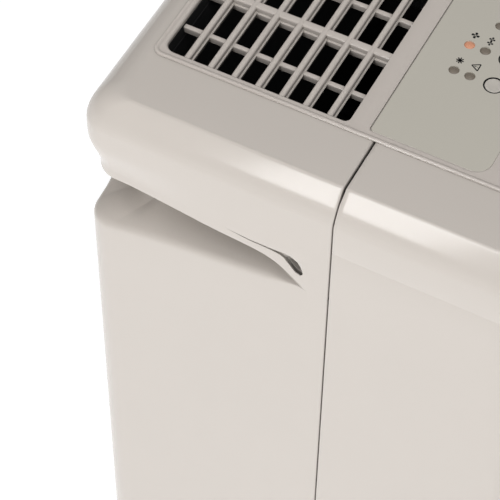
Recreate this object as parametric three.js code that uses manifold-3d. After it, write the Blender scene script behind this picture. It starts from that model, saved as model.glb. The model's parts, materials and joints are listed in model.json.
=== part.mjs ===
// Compressor dehumidifier on castors: two moulded shells that part across the middle, a top plate
// with the air outlet grille and the key panel, a finger recess on each side at the back, a rear
// intake with its filter, the refrigeration set inside, and a water tank that slides out in front.
// Millimetres. X runs across to the user's right, Y from front to back, Z up from the floor.

import * as THREE from 'three';
import { mergeVertices } from 'three/addons/utils/BufferGeometryUtils.js';
import { ConvexGeometry } from 'three/addons/geometries/ConvexGeometry.js';
import Module from 'manifold-3d';

const wasm = await Module();
wasm.setup();

// ---------------------------------------------------------------- driving dimensions
const WIDTH = 323;
const DEPTH = 274;
const HEIGHT = 570;             // floor to the crown of the bead round the top plate
const CASTOR_WHEEL_R = 13;
const CASTOR_HEAD = 6;          // top of the wheels to the bottom edge of the shells
const WALL = 2.8;               // moulded wall of the shells
const FIT = 0.3;                // clearance between pieces that fit together
const SEAM_GAP = 0.8;           // open joint between the shells
const REAR_SHELL_DEPTH = 151.5; // rear face to the parting line
const CORNER_R = 16;            // vertical corners of the shells
const SHOULDER_R = 24;          // rounded top edge of the shells
const TONGUE = 4;               // lip of the front shell that reaches behind the joint

// Top plate, its grille and its panel recess
const BEAD_HEIGHT = 1.4;
const BEAD_WIDTH = 3.6;
const BAND_WIDTH = 45.8;        // side face to the plate
const PLATE_BACK_MARGIN = 20.5;
const PLATE_FRONT_MARGIN = 44.5;
const PLATE_CORNER_R = 6;
const PLATE_SEAT = 2.5;         // how far the plate's flange laps over the shells
const PLATE_THICKNESS = 4.2;
const BEZEL = 5.8;              // plate edge to the grille opening and the panel
const STRIP = 11.5;             // bridge between the grille opening and the panel
const PANEL_LENGTH = 65.4;
const PANEL_FRONT_MARGIN = 18.4;
const PANEL_FRONT_R = 9;
const PANEL_BACK_R = 2;
const RIB_PITCH = 14;
const RIB_WIDTH = 3.5;
const RIB_HEIGHT = 9;
const RIB_SETBACK = 13.1;       // back edge of the opening to the first rib
const CROSS_PITCH = 29.2;
const CROSS_THICK = 5.5;
const CROSS_THIN = 3;
const CROSS_DROP = 3;           // thin cross bars lie this far below the ribs

// Key panel
const OVERLAY_THICKNESS = 0.8;
const KEY_COUNT = 6;
const KEY_PITCH = 20.13;
const KEY_CENTRE_X = -1.5;
const KEY_R = 5.2;
const KEY_GAP = 0.4;
const KEY_SETBACK = 44.4;       // back edge of the panel to the keys
const KEY_TRAVEL = 1;
const LAMP_R = 2.9;
const LAMP_ROWS = [21.6, 30.7]; // back edge of the panel to the two rows of lamps
const LAMP_COLUMNS = [[0, 1], [0, 1], [1], [1], [0, 1], [0, 1]];

// Finger recess
const LIP_DROP = 64;            // bead crown to the lip
const RECESS_HEIGHT = 35;
const RECESS_DEPTH = 24;
const RECESS_TIP_SETBACK = 9;   // parting line to the front tip of the recess
const RECESS_BEND = 52;         // parting line to where the lip starts to fall
const RECESS_TIP_DROP = 84;
const RECESS_BACK_RUN = 62;     // length of the recess on the rear face

// Rear intake
const INTAKE_SIDE_MARGIN = 51.5;
const INTAKE_TOP_DROP = 115;
const INTAKE_THICKNESS = 8;
const INTAKE_SLAT_PITCH = 20;
const INTAKE_HINGE_R = 4;
const FILTER_THICKNESS = 3;

// Lower chassis, tank and castors
const TRAY_FLOOR = 4;
const RAIL_HEIGHT = 10;
const TANK_SIDE_MARGIN = 32.5;
const TANK_HEIGHT = 178;
const TANK_WALL = 2.5;
const LID_THICKNESS = 2.6;
const DECK_RISE = 8;            // tank lid to the condensate tray
const PARTITION_SETBACK = 8;    // parting line to the partition
const SHEET = 2.5;
const CASTOR_WHEEL_WIDTH = 12;
const CASTOR_TRAIL = 9;
const CASTOR_INSET = 38;        // side and end faces to the swivel axis
const AXLE_R = 2.5;

// Refrigeration set and fan
const COIL_THICKNESS = 22;
const COIL_SIDE_MARGIN = 63.5;
const COIL_GAP = 3;
const COIL_ROWS = 5;            // hairpin bends on the right end of each coil
const FAN_R = 76;
const FAN_WIDTH = 40;
const FAN_X = -38;
const FAN_CLEARANCE = 7;        // impeller to the start of the spiral
const SPIRAL_GROWTH = 34;
const SCROLL_WALL = 2;
const SCROLL_INLET_R = 60;
const MOTOR_R = 38;
const MOTOR_LENGTH = 36;
const SHAFT_R = 4;
const COMPRESSOR_R = 52;
const COMPRESSOR_HEIGHT = 152;
const PIPE_R = 4;

// ---------------------------------------------------------------- places that follow from them
const GROUND_CLEARANCE = 2 * CASTOR_WHEEL_R + CASTOR_HEAD;
const SIDE_X = WIDTH / 2;
const BACK_Y = DEPTH / 2;
const FRONT_Y = -DEPTH / 2;
const SEAM_Y = BACK_Y - REAR_SHELL_DEPTH;
const BAND_Z = HEIGHT - BEAD_HEIGHT;
const PLATE_X = SIDE_X - BAND_WIDTH;
const PLATE_BACK_Y = BACK_Y - PLATE_BACK_MARGIN;
const PLATE_FRONT_Y = FRONT_Y + PLATE_FRONT_MARGIN;
const PLATE_TOP_Z = BAND_Z + 0.6;
const PLATE_BOTTOM_Z = PLATE_TOP_Z - PLATE_THICKNESS;
const OPENING_X = PLATE_X - BEZEL;
const OPENING_BACK_Y = PLATE_BACK_Y - 5.5;
const PANEL_FRONT_Y = PLATE_FRONT_Y + PANEL_FRONT_MARGIN;
const PANEL_BACK_Y = PANEL_FRONT_Y + PANEL_LENGTH;
const OPENING_FRONT_Y = PANEL_BACK_Y + STRIP;
const RIB_TOP_Z = PLATE_TOP_Z - 0.7;
const RIB_BOTTOM_Z = RIB_TOP_Z - RIB_HEIGHT;
const KEY_Y = PANEL_BACK_Y - KEY_SETBACK;
const PAN_Z = GROUND_CLEARANCE + 2;
const RAIL_TOP_Z = PAN_Z + TRAY_FLOOR + RAIL_HEIGHT;
const TANK_Z = RAIL_TOP_Z + FIT;
const TANK_TOP_Z = TANK_Z + TANK_HEIGHT;
const TANK_X = SIDE_X - TANK_SIDE_MARGIN;
const PARTITION_Y = SEAM_Y - PARTITION_SETBACK;
const TANK_BACK_Y = PARTITION_Y - 5;
const LID_TOP_Z = TANK_TOP_Z + FIT + LID_THICKNESS;
const DECK_Z = LID_TOP_Z + DECK_RISE;
const INLET_Y = TANK_BACK_Y - 15;
const INTAKE_X = SIDE_X - INTAKE_SIDE_MARGIN;
const INTAKE_TOP_Z = HEIGHT - INTAKE_TOP_DROP;
const HINGE_Z = DECK_Z + 20;
const HINGE_Y = BACK_Y - INTAKE_HINGE_R;
const FILTER_BACK_Y = BACK_Y - INTAKE_THICKNESS - 1.5;
const COIL_X = SIDE_X - COIL_SIDE_MARGIN;
const EVAPORATOR_BACK_Y = FILTER_BACK_Y - FILTER_THICKNESS - 5;
const CONDENSER_BACK_Y = EVAPORATOR_BACK_Y - COIL_THICKNESS - COIL_GAP;
const COIL_Z = DECK_Z + 18;
const COIL_TOP_Z = INTAKE_TOP_Z - 3;
const COIL_PITCH = (COIL_TOP_Z - COIL_Z) / (2 * COIL_ROWS);
const SCROLL_BACK_Y = CONDENSER_BACK_Y - COIL_THICKNESS - 4;
const SCROLL_FRONT_Y = SCROLL_BACK_Y - FAN_WIDTH - 16;
const SPIRAL_START = FAN_R + FAN_CLEARANCE;
const FAN_Z = DECK_Z + 20 + SPIRAL_START + 0.7 * SPIRAL_GROWTH;
const SCROLL_TOP_Z = FAN_Z + SPIRAL_START + 12;
const COMPRESSOR_X = 45;
const COMPRESSOR_Y = BACK_Y - 75;
const ACCUMULATOR_X = COMPRESSOR_X - COMPRESSOR_R - 30;

// ---------------------------------------------------------------- finishes
const finish = (color, roughness, metalness = 0) => ({ color, roughness, metalness });
const FINISHES = {
  shell: finish(0xdad3cb, 0.38),
  plate: finish(0xcfc8c0, 0.42),
  overlay: finish(0xb3afa4, 0.5),
  key: finish(0xbab5aa, 0.5),
  lens: finish(0x6b6259, 0.3),
  darkPlastic: finish(0x2b2b2a, 0.6),
  board: finish(0x1f5a3a, 0.55),
  steel: finish(0xb8bcc0, 0.38, 0.9),
  painted: finish(0x1c1d1f, 0.45),
  aluminium: finish(0xc3c7ca, 0.42, 0.9),
  copper: finish(0xb56a3f, 0.35, 0.95),
  rubber: finish(0x1a1a1a, 0.85),
  tank: finish(0xd7d3cd, 0.35),
  clear: finish(0x9fb2bb, 0.12),
  foam: finish(0x3a3c3e, 0.9),
  nylon: finish(0x3c3d3f, 0.6),
};

// ---------------------------------------------------------------- solids
const ARC_STEPS = 4;
const ROUND = 18;
const SMALL_ROUND = 10;
const LAMP_SIDES = 8;
const KEY_SIDES = 12;

function solidOf(geometry) {
  for (const name of Object.keys(geometry.attributes)) {
    if (name !== 'position') geometry.deleteAttribute(name);
  }
  const merged = mergeVertices(geometry, 1e-3);
  const index = merged.index.array;
  const triangles = [];
  for (let i = 0; i < index.length; i += 3) {
    const [a, b, c] = [index[i], index[i + 1], index[i + 2]];
    if (a !== b && b !== c && c !== a) triangles.push(a, b, c);
  }
  return new wasm.Manifold(new wasm.Mesh({
    numProp: 3,
    vertProperties: new Float32Array(merged.attributes.position.array),
    triVerts: new Uint32Array(triangles),
  }));
}

function block(x0, x1, y0, y1, z0, z1) {
  const box = new THREE.BoxGeometry(x1 - x0, y1 - y0, z1 - z0);
  return solidOf(box.translate((x0 + x1) / 2, (y0 + y1) / 2, (z0 + z1) / 2));
}

// Rectangle with one radius on its two low corners and another on its two high ones.
function rectangle(x0, x1, y0, y1, low = 0, high = low) {
  const shape = new THREE.Shape();
  shape.moveTo(x0 + low, y0);
  shape.lineTo(x1 - low, y0);
  if (low > 0) shape.absarc(x1 - low, y0 + low, low, -Math.PI / 2, 0);
  shape.lineTo(x1, y1 - high);
  if (high > 0) shape.absarc(x1 - high, y1 - high, high, 0, Math.PI / 2);
  shape.lineTo(x0 + high, y1);
  if (high > 0) shape.absarc(x0 + high, y1 - high, high, Math.PI / 2, Math.PI);
  shape.lineTo(x0, y0 + low);
  if (low > 0) shape.absarc(x0 + low, y0 + low, low, Math.PI, 1.5 * Math.PI);
  return shape;
}

function extrude(shape, depth) {
  return new THREE.ExtrudeGeometry(shape, { depth, bevelEnabled: false, curveSegments: ARC_STEPS });
}

// Shapes drawn in X and Y, X and Z, or Y and Z, drawn out along the third axis.
const prismZ = (shape, z0, z1) => solidOf(extrude(shape, z1 - z0).translate(0, 0, z0));
const prismY = (shape, y0, y1) => solidOf(extrude(shape, y1 - y0).rotateX(Math.PI / 2).translate(0, y1, 0));
const prismX = (shape, x0, x1) => solidOf(
  extrude(shape, x1 - x0).rotateX(Math.PI / 2).rotateZ(Math.PI / 2).translate(x0, 0, 0));

function rod(radius, length, sides = ROUND) {
  return new THREE.CylinderGeometry(radius, radius, length, sides);
}
const rodX = (r, x0, x1, y, z, sides) => solidOf(
  rod(r, x1 - x0, sides).rotateZ(Math.PI / 2).translate((x0 + x1) / 2, y, z));
const rodY = (r, x, y0, y1, z, sides) => solidOf(rod(r, y1 - y0, sides).translate(x, (y0 + y1) / 2, z));
const rodZ = (r, x, y, z0, z1, sides) => solidOf(
  rod(r, z1 - z0, sides).rotateX(Math.PI / 2).translate(x, y, (z0 + z1) / 2));

// A turned solid about Z from [radius, height] points.
function turned(points, sides = ROUND) {
  const profile = points.map(([r, z]) => new THREE.Vector2(r, z));
  return solidOf(new THREE.LatheGeometry(profile, sides).rotateX(Math.PI / 2));
}

function hull(points) {
  return solidOf(new ConvexGeometry(points.map((p) => new THREE.Vector3(...p))));
}

function tube(points, radius, sides = 6, steps = 3 * (points.length - 1)) {
  const section = new THREE.Shape();
  section.absarc(0, 0, radius, 0, 2 * Math.PI);
  const path = new THREE.CatmullRomCurve3(points.map((p) => new THREE.Vector3(...p)), false, 'centripetal');
  return solidOf(new THREE.ExtrudeGeometry(section, { steps, curveSegments: sides / 2, extrudePath: path }));
}

const joined = (first, ...others) => others.reduce((all, next) => all.add(next), first);
const cut = (first, ...others) => others.reduce((left, next) => left.subtract(next), first);
const mirrorX = (solid) => solid.mirror([1, 0, 0]);

const model = new THREE.Group();

function piece(name, solid, look, parent = model) {
  const { vertProperties, triVerts } = solid.asOriginal().simplify(0.01).getMesh();
  const geometry = new THREE.BufferGeometry();
  geometry.setAttribute('position', new THREE.BufferAttribute(new Float32Array(vertProperties), 3));
  geometry.setIndex(new THREE.BufferAttribute(new Uint32Array(triVerts), 1));
  geometry.computeVertexNormals();
  const mesh = new THREE.Mesh(geometry, new THREE.MeshStandardMaterial(FINISHES[look]));
  mesh.name = name;
  parent.add(mesh);
  return mesh;
}

// ---------------------------------------------------------------- shells

// The closed outer form of both shells, shrunk by an inset: plan outline, cross profile and
// lengthwise profile cut with one another.
function bodyForm(inset, floorZ = GROUND_CLEARANCE) {
  const x = SIDE_X - inset;
  const y0 = FRONT_Y + inset;
  const y1 = BACK_Y - inset;
  const top = BAND_Z - inset;
  const shoulder = SHOULDER_R - inset;
  const plan = prismZ(rectangle(-x, x, y0, y1, CORNER_R - inset), floorZ, top);
  const cross = prismY(rectangle(-x, x, floorZ, top, 0, shoulder), y0, y1);
  const lengthwise = prismX(rectangle(y0, y1, floorZ, top, 0, shoulder), -x, x);
  return plan.intersect(cross).intersect(lengthwise);
}

function bodyShell() {
  const seat = PLATE_SEAT;
  const opening = rectangle(
    -PLATE_X + seat, PLATE_X - seat, PLATE_FRONT_Y + seat, PLATE_BACK_Y - seat, PLATE_CORNER_R - seat);
  return cut(bodyForm(0), bodyForm(WALL, GROUND_CLEARANCE - 1), prismZ(opening, BAND_Z - 20, HEIGHT));
}

// Space of the finger recess on the left: one wedge along the side and one round the rear corner.
function recessSpace(grow) {
  const lip = HEIGHT - LIP_DROP + grow;
  const floor = lip - RECESS_HEIGHT - 2 * grow;
  const inner = floor + 0.66 * RECESS_HEIGHT;
  const tip = HEIGHT - RECESS_TIP_DROP;
  const depth = RECESS_DEPTH + grow;
  const section = (along) => [
    along(-1, lip), along(depth, lip), along(depth, inner), along(-1, floor)];
  const side = hull([
    ...section((d, z) => [-SIDE_X + d, BACK_Y + 1, z]),
    ...section((d, z) => [-SIDE_X + d * 0.85, SEAM_Y + RECESS_BEND, z]),
    [-SIDE_X - 1, SEAM_Y + RECESS_TIP_SETBACK - grow, tip + grow],
    [-SIDE_X - 1, SEAM_Y + RECESS_TIP_SETBACK - grow, tip - grow - 1],
    [-SIDE_X + 3 + grow, SEAM_Y + RECESS_TIP_SETBACK - grow, tip],
  ]);
  const back = hull([
    ...section((d, z) => [-SIDE_X - 1, BACK_Y - d, z]),
    ...section((d, z) => [-SIDE_X + 0.6 * RECESS_BACK_RUN, BACK_Y - d * 0.85, z]),
    [-SIDE_X + RECESS_BACK_RUN + grow, BACK_Y + 1, tip + grow],
    [-SIDE_X + RECESS_BACK_RUN + grow, BACK_Y + 1, tip - grow - 1],
    [-SIDE_X + RECESS_BACK_RUN + grow, BACK_Y - 3 - grow, tip],
  ]);
  return side.add(back);
}

const SCREW_PLACES = [
  [-SIDE_X + 17, GROUND_CLEARANCE + 28], [SIDE_X - 17, GROUND_CLEARANCE + 28],
  [-SIDE_X + 17, INTAKE_TOP_Z - 10], [SIDE_X - 17, INTAKE_TOP_Z - 10]];
const SCREW_HEAD_R = 3.9;
const SCREW_SHANK_R = 1.9;
const SCREW_SINK = 4;
const SCREW_LENGTH = 16;
const GLAND_PLACE = [SIDE_X - 42, GROUND_CLEARANCE + 40];
const GLAND_R = 9;
const DRAIN_PLACE = [-SIDE_X + 42, GROUND_CLEARANCE + 40];
const DRAIN_R = 11;

function rearHousing() {
  const half = block(-WIDTH, WIDTH, SEAM_Y + SEAM_GAP / 2, BACK_Y + 1, 0, HEIGHT);
  let shell = bodyShell();
  const outer = bodyForm(0);
  for (const side of [(s) => s, mirrorX]) {
    shell = shell.add(side(recessSpace(WALL)).intersect(outer));
  }
  const hingeBoss = (x0, x1) => block(x0, x1, HINGE_Y - 5, BACK_Y - WALL / 2, HINGE_Z - 5, HINGE_Z + 5);
  const gap = INTAKE_X + FIT;
  shell = joined(shell, hingeBoss(-gap - 3, -gap), hingeBoss(gap, gap + 3));
  for (const [x, z] of SCREW_PLACES) {
    shell = shell.add(rodY(SCREW_HEAD_R + 3, x, BACK_Y - 20, BACK_Y - WALL / 2, z, 12));
  }
  shell = shell.intersect(half);
  for (const side of [(s) => s, mirrorX]) shell = shell.subtract(side(recessSpace(0)));
  shell = shell.subtract(block(
    -gap, gap, HINGE_Y - 6, BACK_Y + 1, HINGE_Z - INTAKE_HINGE_R - 0.5, INTAKE_TOP_Z + FIT));
  shell = shell.subtract(rodX(2 + FIT, -gap - 4, gap + 4, HINGE_Y, HINGE_Z, 12));
  for (const [x, z] of SCREW_PLACES) {
    shell = cut(shell,
      rodY(SCREW_HEAD_R + FIT, x, BACK_Y - SCREW_SINK, BACK_Y + 1, z, 16),
      rodY(SCREW_SHANK_R + FIT, x, BACK_Y - 21, BACK_Y, z, 12));
  }
  const [gx, gz] = GLAND_PLACE;
  const [dx, dz] = DRAIN_PLACE;
  return cut(shell,
    rodY(GLAND_R + FIT, gx, BACK_Y - 10, BACK_Y + 1, gz),
    rodY(DRAIN_R + FIT, dx, BACK_Y - 10, BACK_Y + 1, dz));
}

function frontHousing() {
  const half = block(-WIDTH, WIDTH, FRONT_Y - 1, SEAM_Y - SEAM_GAP / 2, 0, HEIGHT);
  const near = block(-WIDTH, WIDTH, SEAM_Y - 6, SEAM_Y - SEAM_GAP / 2, 0, HEIGHT);
  const reach = block(-WIDTH, WIDTH, SEAM_Y - 6, SEAM_Y + TONGUE, 0, HEIGHT);
  const inside = bodyForm(WALL + 2, GROUND_CLEARANCE - 1);
  const root = cut(bodyForm(WALL - 0.2), inside).intersect(near);
  const lip = cut(bodyForm(WALL + FIT), inside).intersect(reach);
  const plateRoom = block(-PLATE_X, PLATE_X, PLATE_FRONT_Y, PLATE_BACK_Y, BAND_Z - 20, HEIGHT);
  const tankRoom = block(-TANK_X - 0.8, TANK_X + 0.8, FRONT_Y - 1, FRONT_Y + 12, TANK_Z - 1, LID_TOP_Z + 1.2);
  return cut(joined(bodyShell().intersect(half), root, lip), plateRoom.intersect(reach), tankRoom);
}

// ---------------------------------------------------------------- top plate and key panel
const keyX = (column) => KEY_CENTRE_X + (column - (KEY_COUNT - 1) / 2) * KEY_PITCH;
const lampPlaces = LAMP_COLUMNS.flatMap(
  (rows, column) => rows.map((row) => [keyX(column), PANEL_BACK_Y - LAMP_ROWS[row]]));

// Round holes for the keys and the lamps, from a height up through the top.
function panelHoles(z0) {
  const keys = LAMP_COLUMNS.map(
    (rows, column) => rodZ(KEY_R + KEY_GAP, keyX(column), KEY_Y, z0, HEIGHT, KEY_SIDES));
  const lamps = lampPlaces.map(([x, y]) => rodZ(LAMP_R, x, y, z0, HEIGHT, LAMP_SIDES));
  return [...keys, ...lamps];
}

function grilleRibs() {
  const open = OPENING_BACK_Y - OPENING_FRONT_Y;
  const bars = [];
  for (let y = OPENING_BACK_Y - RIB_SETBACK; y > OPENING_BACK_Y - open + RIB_WIDTH; y -= RIB_PITCH) {
    const half = RIB_WIDTH / 2;
    bars.push(block(-OPENING_X - 1, OPENING_X + 1, y - half, y + half, RIB_BOTTOM_Z, RIB_TOP_Z));
  }
  const each = Math.floor((OPENING_X - CROSS_THICK) / CROSS_PITCH);
  for (let k = -each; k <= each; k += 1) {
    const thick = k % 2 === 0;
    const half = (thick ? CROSS_THICK : CROSS_THIN) / 2;
    const top = thick ? RIB_TOP_Z : RIB_TOP_Z - CROSS_DROP;
    const x = k * CROSS_PITCH;
    bars.push(block(x - half, x + half, OPENING_FRONT_Y - 1, OPENING_BACK_Y + 1, RIB_BOTTOM_Z, top));
  }
  return joined(...bars);
}

function topPlate() {
  const inSeat = PLATE_SEAT + FIT;
  const outline = (inset, r) => rectangle(
    -PLATE_X + inset, PLATE_X - inset, PLATE_FRONT_Y + inset, PLATE_BACK_Y - inset, r);
  const openingAt = (grow) => rectangle(
    -OPENING_X - grow, OPENING_X + grow, OPENING_FRONT_Y - grow, OPENING_BACK_Y + grow, 4 + grow, 6 + grow);
  const slab = prismZ(outline(inSeat, PLATE_CORNER_R - inSeat), PLATE_BOTTOM_Z, PLATE_TOP_Z);
  const bead = cut(
    prismZ(outline(0, PLATE_CORNER_R), BAND_Z + FIT, HEIGHT),
    prismZ(outline(BEAD_WIDTH, PLATE_CORNER_R - BEAD_WIDTH), BAND_Z, HEIGHT + 1));
  const collar = prismZ(openingAt(2), RIB_BOTTOM_Z - 1, PLATE_TOP_Z - 0.5);
  const posts = [];
  for (const x of [-70, 70]) {
    for (const y of [PANEL_FRONT_Y + 6, PANEL_BACK_Y - 14]) {
      posts.push(rodZ(3, x, y, PLATE_BOTTOM_Z - 9, PLATE_BOTTOM_Z + 0.5, 12));
    }
  }
  let plate = joined(slab, bead, collar, ...posts);
  plate = plate.subtract(prismZ(openingAt(0), RIB_BOTTOM_Z - 2, HEIGHT + 1));
  plate = plate.add(grilleRibs());
  const recessFloor = PLATE_TOP_Z - OVERLAY_THICKNESS - 2 * FIT;
  plate = plate.subtract(prismZ(
    rectangle(-OPENING_X, OPENING_X, PANEL_FRONT_Y, PANEL_BACK_Y, PANEL_FRONT_R, PANEL_BACK_R),
    recessFloor, HEIGHT + 1));
  return cut(plate, ...panelHoles(PLATE_BOTTOM_Z - 1));
}

function controlOverlay() {
  const top = PLATE_TOP_Z - FIT;
  const outline = rectangle(
    -OPENING_X + FIT, OPENING_X - FIT, PANEL_FRONT_Y + FIT, PANEL_BACK_Y - FIT,
    PANEL_FRONT_R - FIT, PANEL_BACK_R - FIT);
  return cut(prismZ(outline, top - OVERLAY_THICKNESS, top), ...panelHoles(top - 2));
}

// A key stands on its own origin at the top of the cap: cap above, wider retaining flange below.
function keyCap() {
  const flangeTop = PLATE_BOTTOM_Z - 0.6 - (PLATE_TOP_Z - FIT);
  return joined(
    rodZ(KEY_R, 0, 0, flangeTop - 0.5, 0, KEY_SIDES),
    rodZ(KEY_R + 1.5, 0, 0, flangeTop - 1.4, flangeTop, KEY_SIDES));
}

const GUIDE_Z = PLATE_BOTTOM_Z - 2.2;
const BOARD_Z = PLATE_BOTTOM_Z - 9 - FIT - 1.6;

function lightGuide() {
  const span = (KEY_COUNT - 1) * KEY_PITCH / 2 + 6;
  const ys = LAMP_ROWS.map((row) => PANEL_BACK_Y - row);
  let guide = block(KEY_CENTRE_X - span, KEY_CENTRE_X + span, Math.min(...ys) - 3, Math.max(...ys) + 3,
    GUIDE_Z, GUIDE_Z + 1.6);
  for (const [x, y] of lampPlaces) {
    guide = guide.add(rodZ(LAMP_R - FIT, x, y, GUIDE_Z + 0.5, PLATE_TOP_Z - FIT - 0.1, LAMP_SIDES));
  }
  return guide;
}

function controlBoard() {
  let board = block(-75, 75, PANEL_FRONT_Y + 2, PANEL_BACK_Y - 8, BOARD_Z, BOARD_Z + 1.6);
  const switchTop = PLATE_BOTTOM_Z - 0.6 - 1.4 - KEY_TRAVEL - 0.2;
  for (let column = 0; column < KEY_COUNT; column += 1) {
    const x = keyX(column);
    board = joined(board,
      block(x - 3, x + 3, KEY_Y - 3, KEY_Y + 3, BOARD_Z + 1, switchTop - 1),
      rodZ(1.7, x, KEY_Y, switchTop - 1.5, switchTop, LAMP_SIDES));
  }
  for (const [x, y] of lampPlaces) {
    board = board.add(block(x - 1.6, x + 1.6, y - 1.6, y + 1.6, BOARD_Z + 1, BOARD_Z + 3));
  }
  return board;
}

// ---------------------------------------------------------------- fan and outlet
function spiralOutline(inset) {
  const shape = new THREE.Shape();
  const start = (2 / 3) * Math.PI;
  const end = 2 * Math.PI;
  const steps = 22;
  const top = SCROLL_TOP_Z;
  const left = FAN_X + (SPIRAL_START - inset) * Math.cos(start);
  shape.moveTo(left, top + (inset ? 1 : 0));
  for (let i = 0; i <= steps; i += 1) {
    const angle = start + ((end - start) * i) / steps;
    const r = SPIRAL_START - inset + (SPIRAL_GROWTH * i) / steps;
    shape.lineTo(FAN_X + r * Math.cos(angle), FAN_Z + r * Math.sin(angle));
  }
  shape.lineTo(FAN_X + SPIRAL_START - inset + SPIRAL_GROWTH, top + (inset ? 1 : 0));
  return shape;
}

// The scroll is a tray that opens towards the coils, and its cover carries the round inlet.
function fanScroll() {
  const rim = SCROLL_BACK_Y - SCROLL_WALL - FIT;
  return cut(
    prismY(spiralOutline(0), SCROLL_FRONT_Y, rim),
    prismY(spiralOutline(SCROLL_WALL), SCROLL_FRONT_Y + SCROLL_WALL, rim + 1),
    rodY(SHAFT_R + 1, FAN_X, SCROLL_FRONT_Y - 1, SCROLL_FRONT_Y + SCROLL_WALL + 1, FAN_Z, 16));
}

function scrollCover() {
  return cut(
    prismY(spiralOutline(0), SCROLL_BACK_Y - SCROLL_WALL, SCROLL_BACK_Y),
    rodY(SCROLL_INLET_R, FAN_X, SCROLL_BACK_Y - SCROLL_WALL - 1, SCROLL_BACK_Y + 1, FAN_Z, 24));
}

function outletDuct() {
  const low = SCROLL_TOP_Z + FIT;
  const high = RIB_BOTTOM_Z - 1 - FIT;
  const x0 = FAN_X + SPIRAL_START * Math.cos((2 / 3) * Math.PI);
  const x1 = FAN_X + SPIRAL_START + SPIRAL_GROWTH;
  const corners = (inset, z0, z1) => [
    [x0 + inset, SCROLL_FRONT_Y + inset, z0], [x1 - inset, SCROLL_FRONT_Y + inset, z0],
    [x0 + inset, SCROLL_BACK_Y - inset, z0], [x1 - inset, SCROLL_BACK_Y - inset, z0],
    [-OPENING_X - 2 + inset, OPENING_FRONT_Y - 2 + inset, z1],
    [OPENING_X + 2 - inset, OPENING_FRONT_Y - 2 + inset, z1],
    [-OPENING_X - 2 + inset, OPENING_BACK_Y + 2 - inset, z1],
    [OPENING_X + 2 - inset, OPENING_BACK_Y + 2 - inset, z1]];
  const throat = block(x0 + 2, x1 - 2, SCROLL_FRONT_Y + 2, SCROLL_BACK_Y - 2, low - 1, low);
  const mouth = block(-OPENING_X, OPENING_X, OPENING_FRONT_Y, OPENING_BACK_Y, high, high + 1);
  return cut(hull(corners(0, low, high)), joined(hull(corners(2, low, high)), throat, mouth));
}

// The impeller turns about Y through its own origin, which is at the front face of its backplate.
function fanImpeller() {
  const blades = [];
  const count = 14;
  const length = 16;
  for (let i = 0; i < count; i += 1) {
    const blade = new THREE.BoxGeometry(length, FAN_WIDTH - 2, 1.6);
    blade.rotateY(0.6).translate(FAN_R - length / 2 - 1.5, FAN_WIDTH / 2, 0);
    blades.push(solidOf(blade.rotateY((2 * Math.PI * i) / count)));
  }
  const ring = cut(
    rodY(FAN_R, 0, FAN_WIDTH - 2.5, FAN_WIDTH, 0, 24),
    rodY(FAN_R - 14, 0, FAN_WIDTH - 4, FAN_WIDTH + 1, 0, 24));
  return cut(
    joined(rodY(FAN_R, 0, 0, 2.4, 0, 24), rodY(13, 0, 0, 24, 0, 20), ring, ...blades),
    rodY(SHAFT_R + FIT, 0, -1, 22, 0, 16));
}

function fanMotor() {
  const can = rodY(MOTOR_R, 0, -MOTOR_LENGTH, -4, 0, 24);
  const flange = rodY(MOTOR_R + 9, 0, -3.2, 0, 0, 24);
  const neck = rodY(MOTOR_R - 4, 0, -5, -2, 0, 24);
  const endCap = rodY(MOTOR_R - 12, 0, -MOTOR_LENGTH - 5, -MOTOR_LENGTH + 1, 0, 24);
  return cut(joined(can, flange, neck, endCap), rodY(SHAFT_R + FIT, 0, -MOTOR_LENGTH - 6, 1, 0, 16));
}

// ---------------------------------------------------------------- refrigeration set
function coil(backY) {
  const y0 = backY - COIL_THICKNESS;
  const mid = (y0 + backY) / 2;
  let pack = joined(
    block(-COIL_X, COIL_X, y0 + 1, backY - 1, COIL_Z, COIL_TOP_Z),
    block(-COIL_X - 1.5, -COIL_X + 1, y0, backY, COIL_Z - 2, COIL_TOP_Z + 2),
    block(COIL_X - 1, COIL_X + 1.5, y0, backY, COIL_Z - 2, COIL_TOP_Z + 2));
  for (const side of [-1, 1]) {
    const shift = side < 0 ? 1 : 0;
    for (let i = 0; i < COIL_ROWS - shift; i += 1) {
      const z = COIL_Z + COIL_PITCH * (2 * i + 0.5 + shift);
      const x = side * (COIL_X + 0.5);
      pack = pack.add(tube([
        [x, mid, z], [x + side * 7, mid, z + 1.5], [x + side * 9, mid, z + COIL_PITCH / 2],
        [x + side * 7, mid, z + COIL_PITCH - 1.5], [x, mid, z + COIL_PITCH]], 3.5, 6, 6));
    }
  }
  return pack;
}

const GROMMET_RING = 62;
const FOOT_ANGLES = [Math.PI / 6, (5 * Math.PI) / 6, 1.5 * Math.PI];
const FOOT_Z = PAN_Z + TRAY_FLOOR + 20;

function compressor() {
  const r = COMPRESSOR_R;
  const z0 = FOOT_Z + 2;
  const z1 = z0 + COMPRESSOR_HEIGHT;
  let can = turned([
    [0, z0], [r * 0.8, z0], [r * 0.96, z0 + 10], [r, z0 + 22], [r, z1 - 26], [r * 0.95, z1 - 12],
    [r * 0.72, z1 - 3], [0, z1]]);
  for (const angle of FOOT_ANGLES) {
    const foot = new THREE.BoxGeometry(GROMMET_RING + 8 - r * 0.5, 26, 3);
    foot.translate((GROMMET_RING + 8 + r * 0.5) / 2, 0, FOOT_Z + 1.5).rotateZ(angle);
    can = can.add(solidOf(foot));
    can = can.subtract(rodZ(4.6 + FIT, GROMMET_RING * Math.cos(angle), GROMMET_RING * Math.sin(angle),
      FOOT_Z - 1, FOOT_Z + 5, 12));
  }
  return can;
}

function grommet() {
  const bottom = PAN_Z + TRAY_FLOOR + FIT;
  return turned([
    [0, bottom], [9, bottom], [9, bottom + 6], [7.5, bottom + 8], [9, bottom + 10], [9, FOOT_Z - FIT],
    [4.6, FOOT_Z - FIT], [4.6, FOOT_Z + 5], [0, FOOT_Z + 5]], 12);
}

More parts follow.
